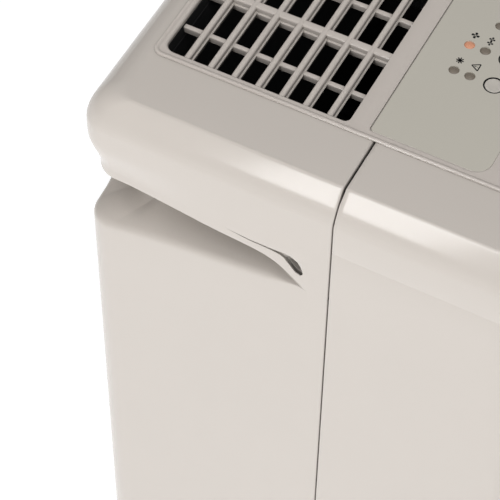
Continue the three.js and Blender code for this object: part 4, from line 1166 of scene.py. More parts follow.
class Case:
    """Rear and front shell, a black strip of painted shade in the joint between them, and the screws in the
    rear.
    """

    def build(self) -> None:
        """Makes all of it."""
        grille, gland, drain = Box.of("intake_grille"), Box.of("cord_gland"), Box.of("drain_plug")
        screws = [Box.of(f"housing_screw_{i}") for i in (1, 2, 3, 4)]
        holes = [Form().prism(rounded(grille.low.x - 0.4, grille.high.x + 0.4, grille.low.z - 0.6,
                                      grille.high.z + 0.4, 2), 128.0, 139.0, Axis.Y)]
        for box, grow in ((gland, -2.0), (drain, -1.4), *((s, 0.4) for s in screws)):
            radius = box.size.x / 2 + grow
            holes.append(Form().prism(circle(box.centre.x, box.centre.z, radius), 128.0, 139.0, Axis.Y))
        Shell("rear_shell", "rear_housing", True, 114.0, 22.0, Recess()).build(holes)
        tank = Box.of("water_tank")
        mouth = Form().prism(rounded(tank.low.x - 0.8, tank.high.x + 0.8, tank.low.z - 1, 230.4, 3),
                             -139.0, -126.0, Axis.Y)
        Shell("front_shell", "front_housing", False, 90.0, SHOULDER, None, 527.0).build([mouth])
        self._seal()
        for number, box in enumerate(screws, 1):
            self._screw(number, box)

    def _seal(self) -> None:
        """Black strip behind the joint: painted shade, which keeps the open gap dark."""
        form = Form()
        path = [(SIDE - WALL - 0.1, FLOOR_EDGE + 1)]
        path += [(SIDE - back, z) for back, z in side_section(WALL + 0.1)]
        path.append((PLATE_HALF, BAND - WALL - 0.1))
        thick, back, front = 1.2, JOINT - 3.5, JOINT + 3.5
        for side in (-1, 1):
            loops = []
            for i, (x, z) in enumerate(path):
                inner_x = x - thick * (1 if i < 2 else min(1.0, (x - 113) / 48))
                inner_z = z - thick * (i > 1)
                loops.append(form.loop([(side * x, back, z), (side * x, front, z),
                                        (side * inner_x, front, inner_z), (side * inner_x, back, inner_z)]))
            form.tower(loops)
            form.cap(loops[0])
            form.cap(loops[-1])
        # Painted shade: a dead black strip that fills the joint's gap.
        Kit.add("joint_gap_shade", form, SHADE_BLACK, "cabinet", [], None)

    def _screw(self, number: int, box: Box) -> None:
        """Pan-head screw with a cross slot, sunk in the rear face.

        Args:
            number: Number of the screw.
            box: Box of its CAD node.
        """
        radius = box.size.x / 2
        x, z, face = box.centre.x, box.centre.z, box.high.y - 3.3
        head = Form().lathe([(0, -14), (1.7, -14), (1.7, 0), (radius, 0), (radius, 0.9),
                             (radius - 0.5, 1.9),
                             (radius - 1.6, 2.5), (0, 2.7)], (x, face, z), Axis.Y, 28)
        piece = Kit.add(f"screw_{number}", head, SCREW_STEEL, "cabinet", [f"housing_screw_{number}"],
                        "steel")
        for wide, tall in ((4.2, 0.9), (0.9, 4.2)):
            Kit.cut(piece, Form().prism([(x - wide / 2, z - tall / 2), (x + wide / 2, z - tall / 2),
                                         (x + wide / 2, z + tall / 2), (x - wide / 2, z + tall / 2)],
                                        face + 1.2, face + 4, Axis.Y))


# ------------------------------------------------------------------ top plate
@dataclass
class TopPlate:
    """Plate in the top: bead round its edge, air grille, shallow pocket for the key panel."""

    half: float = 115.7
    front: float = -92.5
    back: float = 116.5
    top: float = 569.2
    bottom: float = 565.0
    opening: float = 109.9
    ribs: int = 7
    rib_pitch: float = 14.0
    first_rib: float = 97.9
    cross_pitch: float = 29.2
    panel_front: float = -74.1
    panel_back: float = -8.7
    panel_floor: float = 567.8
    mouth_floor: float = 558.0

    def edge(self, inset: float) -> list[Flat]:
        """Outline of the plate drawn in by inset."""
        return rounded(-self.half + inset, self.half - inset, self.front + inset, self.back - inset,
                       max(6 - inset, 1.5), steps=8)

    def mouth(self, grow: float, front: float | None = None) -> list[Flat]:
        """Outline of the grille's opening, grown.

        Args:
            grow: How far it stands outside the opening.
            front: The same at the front edge, where that differs.

        Returns:
            The outline.
        """
        at_front = grow if front is None else front
        return rounded(-self.opening - grow, self.opening + grow, 2.8 - at_front, 111.5 + grow,
                       2.6 + grow, 6 + grow)

    def panel(self, sides: float, ends: float) -> list[Flat]:
        """Outline of the key panel's pocket.

        Args:
            sides: How far it is grown at the sides.
            ends: How far it is grown at the front and the back.

        Returns:
            The outline.
        """
        return rounded(-self.opening - sides, self.opening + sides,
                       self.panel_front - ends, self.panel_back + ends, 9, 2, 8)

    def build(self) -> None:
        """Makes the plate and the grille that is moulded with it."""
        Kit.add("plate", self._plate(), PLATE_ABS, "cabinet", ["top_plate"], "plate")
        self._grille()
        self._gasket()

    def _plate(self) -> Form:
        """Shapes the plate as one closed skin: rim with the bead, mouth of the grille, pocket, key holes.

        Returns:
            The plate's surface.
        """
        form = Form()
        bead = [(2.8, self.bottom), (2.8, BAND + 0.08), (0.1, BAND + 0.08), (0, BAND + 0.25), (0.1, 569.35),
                (0.4, 569.75), (0.85, 569.95), (1.25, 570.0), (1.7, 569.93), (2.15, 569.7), (2.5, 569.4),
                (2.8, 569.24), (3.3, 569.2)]
        rim = [form.ring(self.edge(inset), z) for inset, z in bead]
        form.tower(rim)
        lip = [(1.4, 0.25, self.top), (1.1, 0.2, 569.17), (0.75, 0.12, 569.0), (0.35, 0.05, 568.65),
               (0.08, 0, 568.2), (0, 0, 567.8), (0, 0, self.mouth_floor), (1.6, 1.6, self.mouth_floor),
               (2.0, 2.0, self.mouth_floor + 0.4), (2.0, 2.0, self.bottom)]
        mouth = [form.ring(self.mouth(grow, front), z) for grow, front, z in lip]
        form.tower(mouth)
        pocket = [form.ring(self.panel(sides, ends), z) for sides, ends, z in (
            (1.5, 0.12, self.top), (0.9, 0.06, 569.13), (0.3, 0.02, 568.95), (0, 0, 568.85),
            (0, 0, self.panel_floor))]
        form.tower(pocket)
        form.fill(rim[-1], mouth[0], pocket[0])
        holes = [circle(x, y, r, 28) for x, y, r in KeyPanel.holes()]
        tops = [form.ring(h, self.panel_floor) for h in holes]
        bottoms = [form.ring(h, self.bottom) for h in holes]
        for one, other in zip(tops, bottoms):
            form.bridge(one, other)
        form.fill(pocket[-1], *tops)
        form.fill(rim[0], mouth[-1], *bottoms)
        return form

    def _gasket(self) -> None:
        """Black lining of the mouth's wall below its rim: painted shade, which keeps the mouth dark down to
        the duct.
        """
        form = Form()
        loops = [form.ring(self.mouth(grow), z) for grow, z in ((-0.05, 558.3), (-0.05, 566.4),
                                                                (-0.4, 566.2),
                                                               (-0.4, 558.3))]
        form.tower(loops)
        form.bridge(loops[-1], loops[0])
        # Painted shade: a dead black lining over the mouth's inner wall.
        Kit.add("mouth_gasket", form, SHADE_BLACK, "cabinet", [], None)

    def _grille(self) -> None:
        """Ribs across and bars along, each laid by the repeat tree."""
        top = self.top - 0.7
        crown = arc(-0.55, -1.25, 1.2, 180, 90, 5) + arc(0.55, -1.25, 1.2, 90, 0, 5)
        rib = [(0.9, -9.0), (-1.1, -9.0), (-2.6, -4.2), (-2.7, -3.5), (-2.45, -3.2), (-1.85, -3.1), *crown]
        wide = [(1.6, -9.0), (-1.6, -9.0), (-3.0, -4.8), (-2.9, -3.9), (-2.6, -3.7), (-2.0, -3.6),
                *arc(-1.0, -1.2, 1.0, 180, 90, 4), *arc(1.75, -1.2, 1.0, 90, 0, 4)]
        thin = [(1.0, -7.4), (-1.0, -7.4), *arc(-0.8, -3.7, 0.7, 180, 90, 4),
                *arc(0.8, -3.7, 0.7, 90, 0, 4)]
        flat = [(u + self.first_rib, v + top) for u, v in rib]
        one_rib = Form().prism(flat[::-1], -self.opening - 0.4, self.opening + 0.4, Axis.X)
        ribs = Repeat(self.ribs, (0, -self.rib_pitch, 0)).mesh(one_rib, "grille_ribs", PLATE_ABS)
        Kit.add("grille_ribs", ribs, PLATE_ABS, "cabinet", ["top_plate"], "plate")
        for name, outline, count, start, sunk in (("grille_bars_wide", wide, 3, -2, 0.05),
                                                  ("grille_bars_thin", thin, 4, -3, 0)):
            flat = [(u + start * self.cross_pitch, v + top - sunk) for u, v in outline]
            step = Repeat(count, (2 * self.cross_pitch, 0, 0))
            made = step.mesh(Form().prism(flat[::-1], 2.4, 111.4, Axis.Y), name, PLATE_ABS)
            Kit.add(name, made, PLATE_ABS, "cabinet", ["top_plate"], "plate")


# ------------------------------------------------------------------ key panel
@dataclass
class KeyPanel:
    """Printed film with six keys, their lamps and the signs beside the lamps."""

    names: tuple[str, ...] = ("mode", "fan", "power", "timer", "humidity", "tank")
    lamps: tuple[tuple[int, ...], ...] = ((0, 1), (0, 1), (1,), (1,), (0, 1), (0, 1))
    lit: tuple[int, int] = (1, 0)   # column and row of the lamp that is on
    top: float = 568.9

    key_line: ClassVar[float] = -53.1                       # the keys' middles, along Y
    lamp_lines: ClassVar[tuple[float, float]] = (-30.3, -39.4)
    pitch: ClassVar[float] = 20.13

    @staticmethod
    def key_x(column: int) -> float:
        """Middle of a column of keys."""
        return -1.5 + (column - 2.5) * KeyPanel.pitch

    @classmethod
    def lamp_places(cls) -> list[tuple[int, int, float, float]]:
        """Column, row and place of every lamp."""
        return [(column, row, cls.key_x(column), cls.lamp_lines[row])
                for column, rows in enumerate(cls.lamps) for row in rows]

    @classmethod
    def holes(cls) -> list[tuple[float, float, float]]:
        """Centre and radius of every hole through the film and the plate."""
        keys = [(cls.key_x(i), cls.key_line, 5.72) for i in range(6)]
        return keys + [(x, y, 2.95) for _, _, x, y in cls.lamp_places()]

    def build(self) -> None:
        """Makes film, keys, lamps and signs."""
        film = Form()
        outer = rounded(-109.86, 109.86, -73.95, -9.35, 8.9, 2, 8)
        holes = [circle(x, y, r, 40) for x, y, r in self.holes()]
        rims = [(outer, self.top - 0.9), (outer, self.top - 0.06)]
        low, mid = (film.ring(o, z) for o, z in rims)
        small = rounded(-109.8, 109.8, -73.89, -9.41, 8.86, 1.96, 8)
        high = film.ring(small, self.top)
        film.tower([low, mid, high])
        bottoms, tops = [film.ring(h, self.top - 0.9) for h in holes], [film.ring(h,
                                                                                  self.top) for h in holes]
        for one, other in zip(bottoms, tops):
            film.bridge(one, other)
        film.fill(high, *tops)
        film.fill(low, *bottoms)
        Kit.add("panel_film", film, OVERLAY_FILM, "cabinet", ["control_overlay"], "overlay")
        for column, name in enumerate(self.names):
            self._key(column, f"key_{name}")
        for column, row, x, y in self.lamp_places():
            lens = Form().lathe([(0, self.top - 4), (2.88, self.top - 4), (2.88, self.top - 0.85),
                                 (2.5, self.top - 0.5),
                                 (1.8, self.top - 0.22), (0.9, self.top - 0.06), (0, self.top)],
                                (x, y, 0), Axis.Z, 36)
            finish = LAMP_LIT if (column, row) == self.lit else LAMP_OFF
            Kit.add(f"lamp_{column}_{row}", lens, finish, "cabinet", ["light_guide"], "lens")
        self._signs()

    def _key(self, column: int, node_name: str) -> None:
        """Dished cap on a flange, and the black ring of painted shade in the gap round it.

        Args:
            column: Column of the key.
            node_name: CAD node and body of the key.
        """
        x, top = self.key_x(column), self.top
        cap = Form().lathe([(0, 563.05), (6.6, 563.05), (6.6, 564.3), (4.85, 564.4), (4.85, top - 0.35),
                            (4.7, top - 0.1), (4.45, top), (3.6, top - 0.06), (2.0, top - 0.2),
                            (0, top - 0.26)],
                           (x, self.key_line, 0), Axis.Z, 48)
        Kit.add(node_name + "_cap", cap, KEY_ABS, node_name, [node_name], "key")
        # Painted shade: a black ring stands in the gap round the cap, near its top.
        seal = Form().lathe([(4.95, top - 1.2), (4.95, top - 0.18), (5.7, top - 0.12), (5.7, top - 1.2)],
                            (x, self.key_line, 0), Axis.Z, 48)
        Kit.add(node_name + "_seal", seal, SHADE_BLACK, "cabinet", [], None)

    def _signs(self) -> None:
        """Printed signs beside the lamps: frost, warning, one and two fans, clock, drops."""
        form = Form()
        for column, row, x, y in self.lamp_places():
            self._sign(form, column, row, x + 7.6, y)
        Kit.add("panel_print", form, INK, "cabinet", [], None)

    def _sign(self, form: Form, column: int, row: int, x: float, y: float) -> None:
        """One sign, chosen by the lamp's place.

        Args:
            form: Surface that takes the sign.
            column: Column of the lamp.
            row: Row of the lamp.
            x: Middle of the sign along X.
            y: Middle of the sign along Y.
        """
        low, high = self.top - 0.05, self.top + 0.03

        def stroke(a: Flat, b: Flat, width: float = 0.42) -> None:
            """Prints a straight line.

            Args:
                a: Its start, from the sign's middle.
                b: Its end.
                width: Width of the line.
            """
            dx, dy = b[0] - a[0], b[1] - a[1]
            size = math.hypot(dx, dy)
            nx, ny = -dy / size * width / 2, dx / size * width / 2
            form.prism([(x + a[0] + nx, y + a[1] + ny), (x + a[0] - nx, y + a[1] - ny),
                        (x + b[0] - nx, y + b[1] - ny), (x + b[0] + nx, y + b[1] + ny)], low, high)

        def ring(cx: float, cy: float, radius: float, width: float = 0.42) -> None:
            """Prints a circle.

            Args:
                cx: Its middle along X, from the sign's middle.
                cy: The same along Y.
                radius: Radius of the line's middle.
                width: Width of the line.
            """
            form.lathe([(radius - width / 2, low), (radius + width / 2, low), (radius + width / 2, high),
                        (radius - width / 2, high)], (x + cx, y + cy, 0), Axis.Z, 28)

        def blades(cx: float, cy: float, radius: float) -> None:
            """Prints four fan blades.

            Args:
                cx: Their middle along X, from the sign's middle.
                cy: The same along Y.
                radius: Reach of a blade.
            """
            tip = arc(0.62 * radius, 0, 0.38 * radius, -150, 60, 8) + [(0.05 * radius, 0.12 * radius)]
            for i in range(4):
                turn = math.radians(90 * i)
                spots = [(x + cx + u * math.cos(turn) - v * math.sin(turn),
                          y + cy + u * math.sin(turn) + v * math.cos(turn)) for u, v in tip]
                form.prism(spots, low, high)

        if (column, row) == (0, 0):
            for i in range(4):
                turn = math.radians(45 * i)
                dx, dy = 2.2 * math.cos(turn), 2.2 * math.sin(turn)
                stroke((-dx, -dy), (dx, dy), 0.7)
        elif (column, row) == (0, 1):
            corners = [(-2.5, -2.0), (2.5, -2.0), (0.0, 2.3)]
            for a, b in zip(corners, corners[1:] + corners[:1]):
                stroke(a, b, 0.66)
            stroke((0, 0.8), (0, -0.4), 0.45)
            stroke((0, -0.8), (0, -1.2), 0.45)
        elif (column, row) == (1, 0):
            blades(0, 0, 2.3)
        elif (column, row) == (1, 1):
            blades(-1.45, 0, 1.75)
            blades(1.45, 0, 1.75)
        elif column in (2, 3):
            ring(0, 0, 2.3)
            stroke((0, 0), (0, 1.5))
            stroke((0, 0), (1.2, 0))
        else:
            drops = (0.0,) if row == 0 else (-1.9, 1.9)
            for at in drops:
                ring(at, -0.6, 1.35)
                stroke((at - 1.1, 0.3), (at, 2.4))
                stroke((at + 1.1, 0.3), (at, 2.4))


# ------------------------------------------------------------------ air path
@dataclass
class AirPath:
    """Intake grille and filter on the rear, then scroll, outlet duct, impeller and motor."""

    axis_x: float = -38.0
    axis_z: float = 364.0
    blades: int = 38
    slat_pitch: float = 9.6

    def build(self) -> None:
        """Makes every piece of the air path."""
        for cad in ("fan_scroll", "scroll_cover", "outlet_duct"):
            Kit.finer(cad, BLACK_ABS, "dark_plastic", 0.5)
        self._impeller()
        self._motor()
        self._intake()
        self._filter()

    def _impeller(self) -> None:
        """Forward-curved blades between a dished plate with its hub and a front ring."""
        box = Box.of("fan_impeller")
        low, high, outer = box.low.y, box.high.y, box.size.x / 2
        centre = (self.axis_x, 0, self.axis_z)
        inner = outer - 13.5
        curve: list[Flat] = []
        for i in range(7):
            f = i / 6
            radius = inner + (outer - 1.2 - inner) * f
            turn = 0.16 * f * f
            curve.append((radius * math.cos(turn), radius * math.sin(turn)))
        back = [(x * math.cos(0.013) - z * math.sin(0.013), x * math.sin(0.013) + z * math.cos(0.013))
                for x, z in curve]
        blade = Form().prism(curve + back[::-1], low + 2.0, high - 1.2, Axis.Y)
        blades = Repeat(self.blades, turn=(0, 2 * math.pi / self.blades, 0)).mesh(blade, "blades",
                                                                                  BLACK_ABS, centre)
        Kit.add("impeller_blades", blades, BLACK_ABS, "fan", ["fan_impeller"], "dark_plastic")
        plate = Form().lathe([(4.3, low + 0.2), (outer, low + 0.2), (outer, low + 2.2), (inner, low + 2.4),
                              (40, low + 5), (20, low + 12), (11, low + 17), (10.5, low + 26),
                              (4.3, low + 26)],
                             centre, Axis.Y, 72)
        Kit.add("impeller_plate", plate, BLACK_ABS, "fan", ["fan_impeller"], "dark_plastic", 0.3)
        ring = Form().lathe([(outer - 4, high - 1.6), (outer, high - 1.6), (outer, high - 0.1),
                             (outer - 4, high - 0.1)], centre, Axis.Y, 72)
        Kit.add("impeller_ring", ring, BLACK_ABS, "fan", ["fan_impeller"], "dark_plastic", 0.3)
        shaft = Box.of("motor_shaft")
        spindle = Form().lathe([(0, shaft.low.y), (3.5, shaft.low.y), (4, shaft.low.y + 0.6),
                                (4, shaft.high.y - 0.6), (3.5, shaft.high.y), (0, shaft.high.y)], centre,
                               Axis.Y, 32)
        Kit.add("shaft", spindle, DRAWN_STEEL, "fan", ["motor_shaft"], "steel")

    def _motor(self) -> None:
        """Motor can with a ring of vents, drawn as thin black plates of painted shade on its face, over the
        bracket that holds it.
        """
        Kit.finer("fan_motor", DRAWN_STEEL, "steel", 0.6)
        box = Box.of("fan_motor")
        # Painted shade: each vent is a thin black plate, not an opening.
        vent = Form().prism([(26.0, -1.5), (33.5, -1.8), (33.5, 1.8), (26.0, 1.5)], box.low.y - 0.05,
                            box.low.y + 0.35,
                            Axis.Y)
        vents = Repeat(12, turn=(0, math.pi / 6, 0)).mesh(vent, "vents", SHADE_BLACK,
                                                          (self.axis_x, 0, self.axis_z))
        Kit.add("motor_vent_shade", vents, SHADE_BLACK, "cabinet", [], None)

    def _intake(self) -> None:
        """Rear grille: frame on two hinge pins, sloping slats laid by the repeat tree, three posts behind."""
        box = Box.of("intake_grille")
        low, high = box.low, box.high
        frame_form = Form()
        outer = rounded(low.x + 0.2, high.x - 0.2, low.z, high.z, 2.5, 4, 8)
        inner = rounded(low.x + 8, high.x - 8, low.z + 9, high.z - 8, 3, 3, 8)
        rings = [(outer, low.y + 1.5), (outer, high.y - 1.0)]
        loops = [frame_form.ring(o, y, Axis.Y) for o, y in rings]
        loops.append(frame_form.ring(rounded(low.x + 1.0, high.x - 1.0, low.z + 0.8, high.z - 0.8, 2.2,
                                             3.6, 8),
                                     high.y, Axis.Y))
        loops.append(frame_form.ring(rounded(low.x + 7.2, high.x - 7.2, low.z + 8.2, high.z - 7.2, 3.5,
                                             3.5, 8),
                                     high.y, Axis.Y))
        loops.append(frame_form.ring(inner, high.y - 0.9, Axis.Y))
        loops.append(frame_form.ring(inner, low.y + 1.5, Axis.Y))
        frame_form.tower(loops)
        frame_form.bridge(loops[-1], loops[0])
        Kit.add("intake_frame", frame_form, PLATE_ABS, "intake", ["intake_grille"], "shell")
        opening_low, opening_high = low.z + 9, high.z - 8
        count = int((opening_high - opening_low) / self.slat_pitch)
        pitch = (opening_high - opening_low) / (count + 1)
        slat = Form().prism([(high.y - 0.8, -1.6), (high.y - 0.3, -1.0), (high.y - 0.3, -0.2),
                             (high.y - 0.9, 0.2),
                             (low.y + 1.9, 3.2), (low.y + 1.5, 2.8), (low.y + 1.5, 1.9),
                             (low.y + 1.9, 1.5)],
                            low.x + 7.6, high.x - 7.6, Axis.X)
        slats = Repeat(count, (0, 0, pitch)).mesh(slat, "slats", PLATE_ABS,
                                                  (0, 0, opening_low + pitch - 0.5))
        Kit.add("intake_slats", slats, PLATE_ABS, "intake", ["intake_grille"], "shell", 0.15)
        post = Form().prism(rounded(-1.4, 1.4, low.y + 0.6, low.y + 3.4, 0.5, steps=2), opening_low - 1,
                            opening_high + 1)
        posts = Repeat(3, (49.0, 0, 0)).mesh(post, "posts", PLATE_ABS, (-49.0, 0, 0))
        Kit.add("intake_posts", posts, PLATE_ABS, "intake", ["intake_grille"], "shell")
        pin = Form()
        for side in (-1, 1):
            half = [(0, 0), (2.0, 0), (2.0, side * 12.3), (1.6, side * 12.7), (0, side * 12.7)]
            pin.lathe(half, (side * 100.0, 133.0, 257.2), Axis.X, 24)
        Kit.add("hinge_pins", pin, PLATE_ABS, "intake", ["intake_grille"], "shell")

    def _filter(self) -> None:
        """Filter: moulded frame with cross ribs, net of thin strands both ways."""
        box = Box.of("air_filter")
        low, high = box.low, box.high
        form = Form()
        outer = rounded(low.x, high.x, low.z, high.z, 3)
        inner = rounded(low.x + 4, high.x - 4, low.z + 4, high.z - 4, 1)
        loops = [form.ring(o, y, Axis.Y) for o, y in ((outer, low.y), (outer, high.y), (inner, high.y),
                                                     (inner, low.y))]
        form.tower(loops)
        form.bridge(loops[-1], loops[0])
        Kit.add("filter_frame", form, GREY_ABS, "intake", ["air_filter"], "filter_mesh", 0.3)
        middle = (low.y + high.y) / 2
        rib = Form().prism(rounded(-0.9, 0.9, low.y + 0.3, high.y - 0.3, 0.4, steps=2), low.z + 3,
                           high.z - 3)
        ribs = Repeat(3, (51.0, 0, 0)).mesh(rib, "filter_ribs", GREY_ABS, (-51.0, 0, 0))
        Kit.add("filter_ribs", ribs, GREY_ABS, "intake", ["air_filter"], "filter_mesh")
        wide, tall = high.x - low.x - 8, high.z - low.z - 8
        for name, count, step, strand, start in (
                ("net_upright", 80, (wide / 80, 0, 0),
                 Form().prism(rounded(-0.22, 0.22, middle - 0.22, middle + 0.22, 0.1, steps=1), low.z + 3.5,
                              high.z - 3.5), (low.x + 4 + wide / 160, 0, 0)),
                ("net_across", 72, (0, 0, tall / 72),
                 Form().prism(rounded(middle - 0.22, middle + 0.22, -0.22, 0.22, 0.1, steps=1), low.x + 3.5,
                              high.x - 3.5, Axis.X), (0, 0, low.z + 4 + tall / 144))):
            made = Repeat(count, step).mesh(strand, name, NET_NYLON, start)
            Kit.add(name, made, NET_NYLON, "intake", ["air_filter"], "filter_mesh")


# ------------------------------------------------------------------ refrigeration set
@dataclass
class Coil:
    """Finned coil: thin fins on straight tubes, with hairpin bends at both ends."""

    name: str
    node: str
    half: float = 98.0
    rows: int = 10
    fin_pitch: float = 2.2

    def build(self) -> None:
        """Makes fins, end plates and tubes."""
        box = Box.of(self.node)
        low, high = box.low, box.high
        pitch = (high.z - low.z - 4) / self.rows
        y = (low.y + high.y) / 2
        edge = [(low.y + 1.0, low.z + 2), (high.y - 1.0, low.z + 2)]
        for side, ahead in ((high.y - 0.5, 1), (low.y + 0.5, -1)):
            steps = range(40) if ahead > 0 else range(39, -1, -1)
            edge += [(side + (0.45 if i % 2 else 0) * (1 if ahead > 0 else -1),
                      low.z + 4 + (high.z - low.z - 8) * i / 39) for i in steps]
            if ahead > 0:
                edge += [(high.y - 1.0, high.z - 2), (low.y + 1.0, high.z - 2)]
        count = int(2 * (self.half - 2) / self.fin_pitch) + 1
        fin = Form().prism(edge, -0.13, 0.13, Axis.X)
        fins = Repeat(count, (self.fin_pitch, 0, 0)).mesh(
            fin, self.name + "_fins", ALUMINIUM, (-(count - 1) * self.fin_pitch / 2, 0, 0))
        Kit.add(self.name + "_fins", fins, ALUMINIUM, "cabinet", [self.node], "aluminium")
        plates = Form()
        for x in (-self.half, self.half - 1.2):
            plates.prism(rounded(low.y, high.y, low.z, high.z, 1.5, steps=3), x, x + 1.2, Axis.X)
        Kit.add(self.name + "_plates", plates, DRAWN_STEEL, "cabinet", [self.node], "aluminium", 0.2)
        tubes = Form()
        heights = [low.z + 2 + (i + 0.5) * pitch for i in range(self.rows)]
        for z in heights:
            tubes.tube([(-self.half - 1.5, y, z), (0, y, z), (self.half + 1.5, y, z)], 3.9, 14)
        for side, first in ((1, 0), (-1, 1)):
            for i in range(first, self.rows - 1, 2):
                z = (heights[i] + heights[i + 1]) / 2
                out = side * (self.half + 0.5)
                flat = box.high.x - 4 - self.half - 0.5
                bend = [(out + side * flat * math.cos(t), y, z + pitch / 2 * math.sin(t))
                        for t in (math.radians(-90 + 15 * k) for k in range(13))]
                tubes.tube(bend, 4.0, 14)
        Kit.add(self.name + "_tubes", tubes, COPPER, "cabinet", [self.node], "aluminium")


class Refrigeration:
    """Compressor on its rubber feet, accumulator, coils, drier, capillary and the pipes that join them."""

    def build(self) -> None:
        """Makes every piece of the refrigeration set."""
        Coil("evaporator", "evaporator_coil").build()
        Coil("condenser", "condenser_coil", fin_pitch=2.0).build()
        self._compressor()
        for cad in ("accumulator_pipe", "suction_pipe", "discharge_pipe", "liquid_pipe", "capillary_tube"):
            self._pipe(cad)
        Kit.finer("filter_drier", COPPER, "copper", 0.5)
        Kit.finer("compressor_terminal_cover", BLACK_ABS, "dark_plastic", 1.2)
        for number in (1, 2, 3):
            self._grommet(f"compressor_grommet_{number}")
        box = Box.of("accumulator")
        radius, mid = box.size.x / 2, (box.centre.x, box.centre.y, 0)
        low, high = box.low.z, box.high.z
        Kit.add("accumulator_shell", Form().lathe(
            [(0, low), (5, low), (5.5, low + 3), (12, low + 7), (radius - 2, low + 12), (radius, low + 20),
             (radius, high - 20), (radius - 2, high - 12), (12, high - 7), (5.5, high - 3), (5, high),
             (0, high)],
            mid, Axis.Z, 48), BLACK_ENAMEL, "cabinet", ["accumulator"], "black_enamel")
        box = Box.of("run_capacitor")
        low, high, radius = box.low.z, box.high.z, box.size.x / 2
        Kit.add("capacitor_can", Form().lathe(
            [(0, low), (radius - 1.5, low), (radius, low + 1.5), (radius, high - 12),
             (radius - 0.8, high - 11),
             (radius, high - 10), (radius, high - 6), (radius - 1, high - 5), (radius - 3, high - 5.5),
             (8, high - 5.5),
             (7.5, high), (0, high)], (box.centre.x, box.centre.y, 0), Axis.Z, 48), ALUMINIUM, "cabinet",
            ["run_capacitor"], "aluminium")

    def _pipe(self, cad: str) -> None:
        """Pipe: the CAD run, shaded smooth."""
        body = frame["nodes"][cad]["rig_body"]
        piece = Kit.add(cad + "_drawn", Kit.copy_of(cad, dissolve=False), COPPER, body, [cad], "copper")
        piece.data.set_sharp_from_angle(angle=math.radians(60))

    def _compressor(self) -> None:
        """Deep-drawn can with its weld flange, on a three-cornered foot plate."""
        box = Box.of("compressor")
        x, y, high = 45.0, 62.0, box.high.z
        can = Form().lathe([(0, 66), (30, 66.5), (44, 69), (50, 74), (52, 82), (52, 128), (52.6, 129),
                            (53.4, 130),
                            (53.4, 132.5), (52.6, 133.5), (51.8, 134.5), (51.5, 186), (50, 195),
                            (45, 203), (36, 208.5),
                            (20, high - 1), (0, high)], (x, y, 0), Axis.Z, 72)
        Kit.add("compressor_can", can, BLACK_ENAMEL, "cabinet", ["compressor"], "black_enamel")
        outline = []
        for px, py, start in ((98.7, 93.0, -45), (-8.7, 93.0, 75), (45.0, 0.0, 195)):
            outline += arc(px, py, 8.0, start, start + 150, 8)
        holes = [circle(px, py, 5.2, 20) for px, py in ((98.7, 93.0), (-8.7, 93.0), (45.0, 0.0))]
        Kit.add("compressor_foot", Form().sheet(outline, holes, 63.2, 66.4), BLACK_ENAMEL, "cabinet",
                ["compressor"], "black_enamel", 0.4)

    @staticmethod
    def _grommet(cad: str) -> None:
        """Rubber foot with the groove that grips the foot plate.

        Args:
            cad: CAD node of the grommet.
        """
        box = Box.of(cad)
        r, low = box.size.x / 2, box.low.z
        profile = [(0, low), (r - 1, low), (r, low + 1), (r, low + 7), (r - 1.6, low + 9), (r, low + 11),
                   (r, low + 16), (r - 1.6, low + 18), (r, low + 20), (r, low + 23.7),
                   (r - 1, box.high.z), (0, box.high.z)]
        Kit.add(cad + "_moulded", Form().lathe(profile, (box.centre.x, box.centre.y, 0), Axis.Z, 36),
                RUBBER,
                "cabinet", [cad], "rubber")


# ------------------------------------------------------------------ water path, base and small parts
class WaterPath:
    """Removable tank with lid, window and float, and the trays, switch and drain round it."""

    def build(self) -> None:
        """Makes every piece that touches water."""
        Kit.finer("water_tank", TANK_FACE, "tank", 0.9)
        Kit.finer("tank_lid", TANK_PP, "tank", 0.5)
        Kit.finer("tank_window", CLEAR_PC, "clear", 0.5)
        Kit.finer("tank_float", GREY_ABS, "dark_plastic", 0.6)
        Kit.finer("drip_tray", GREY_ABS, "dark_plastic", 0.5)
        Kit.finer("tank_switch", BLACK_ABS, "dark_plastic", 0.4)
        Kit.finer("switch_plunger", NYLON, "nylon", 0.3)
        self._drain()

    def _drain(self) -> None:
        """Screw-in drain plug with a finger bar and a ring of ribs, its rubber washer behind."""
        box = Box.of("drain_plug")
        x, z, r = box.centre.x, box.centre.z, box.size.x / 2
        low, high = box.low.y, box.high.y
        body = Form().lathe([(0, low), (6.5, low), (7, low + 0.5), (7, low + 6), (r - 0.8, low + 6.2),
                             (r - 0.5, low + 7),
                             (r - 0.5, high - 3.2), (r - 1.2, high - 2.4), (0, high - 2.4)], (x, 0, z),
                            Axis.Y, 48)
        Kit.add("drain_cap", body, RUBBER, "drain_cap", ["drain_plug"], "rubber")
        bar = Form().prism(rounded(-r + 2.6, r - 2.6, -1.7, 1.7, 1.6), high - 3.0, high - 0.1, Axis.Y, 0.5)
        Kit.add("drain_bar", bar.shifted(x, 0, z), RUBBER, "drain_cap", ["drain_plug"], "rubber", 0.2)
        rib = Form().prism([(r - 0.7, -0.5), (r - 0.05, -0.25), (r - 0.05, 0.25), (r - 0.7, 0.5)],
                           high - 7.0,
                           high - 3.4, Axis.Y)
        ribs = Repeat(30, turn=(0, math.pi / 15, 0)).mesh(rib, "drain_ribs", RUBBER, (x, 0, z))
        Kit.add("drain_ribs", ribs, RUBBER, "drain_cap", ["drain_plug"], "rubber")


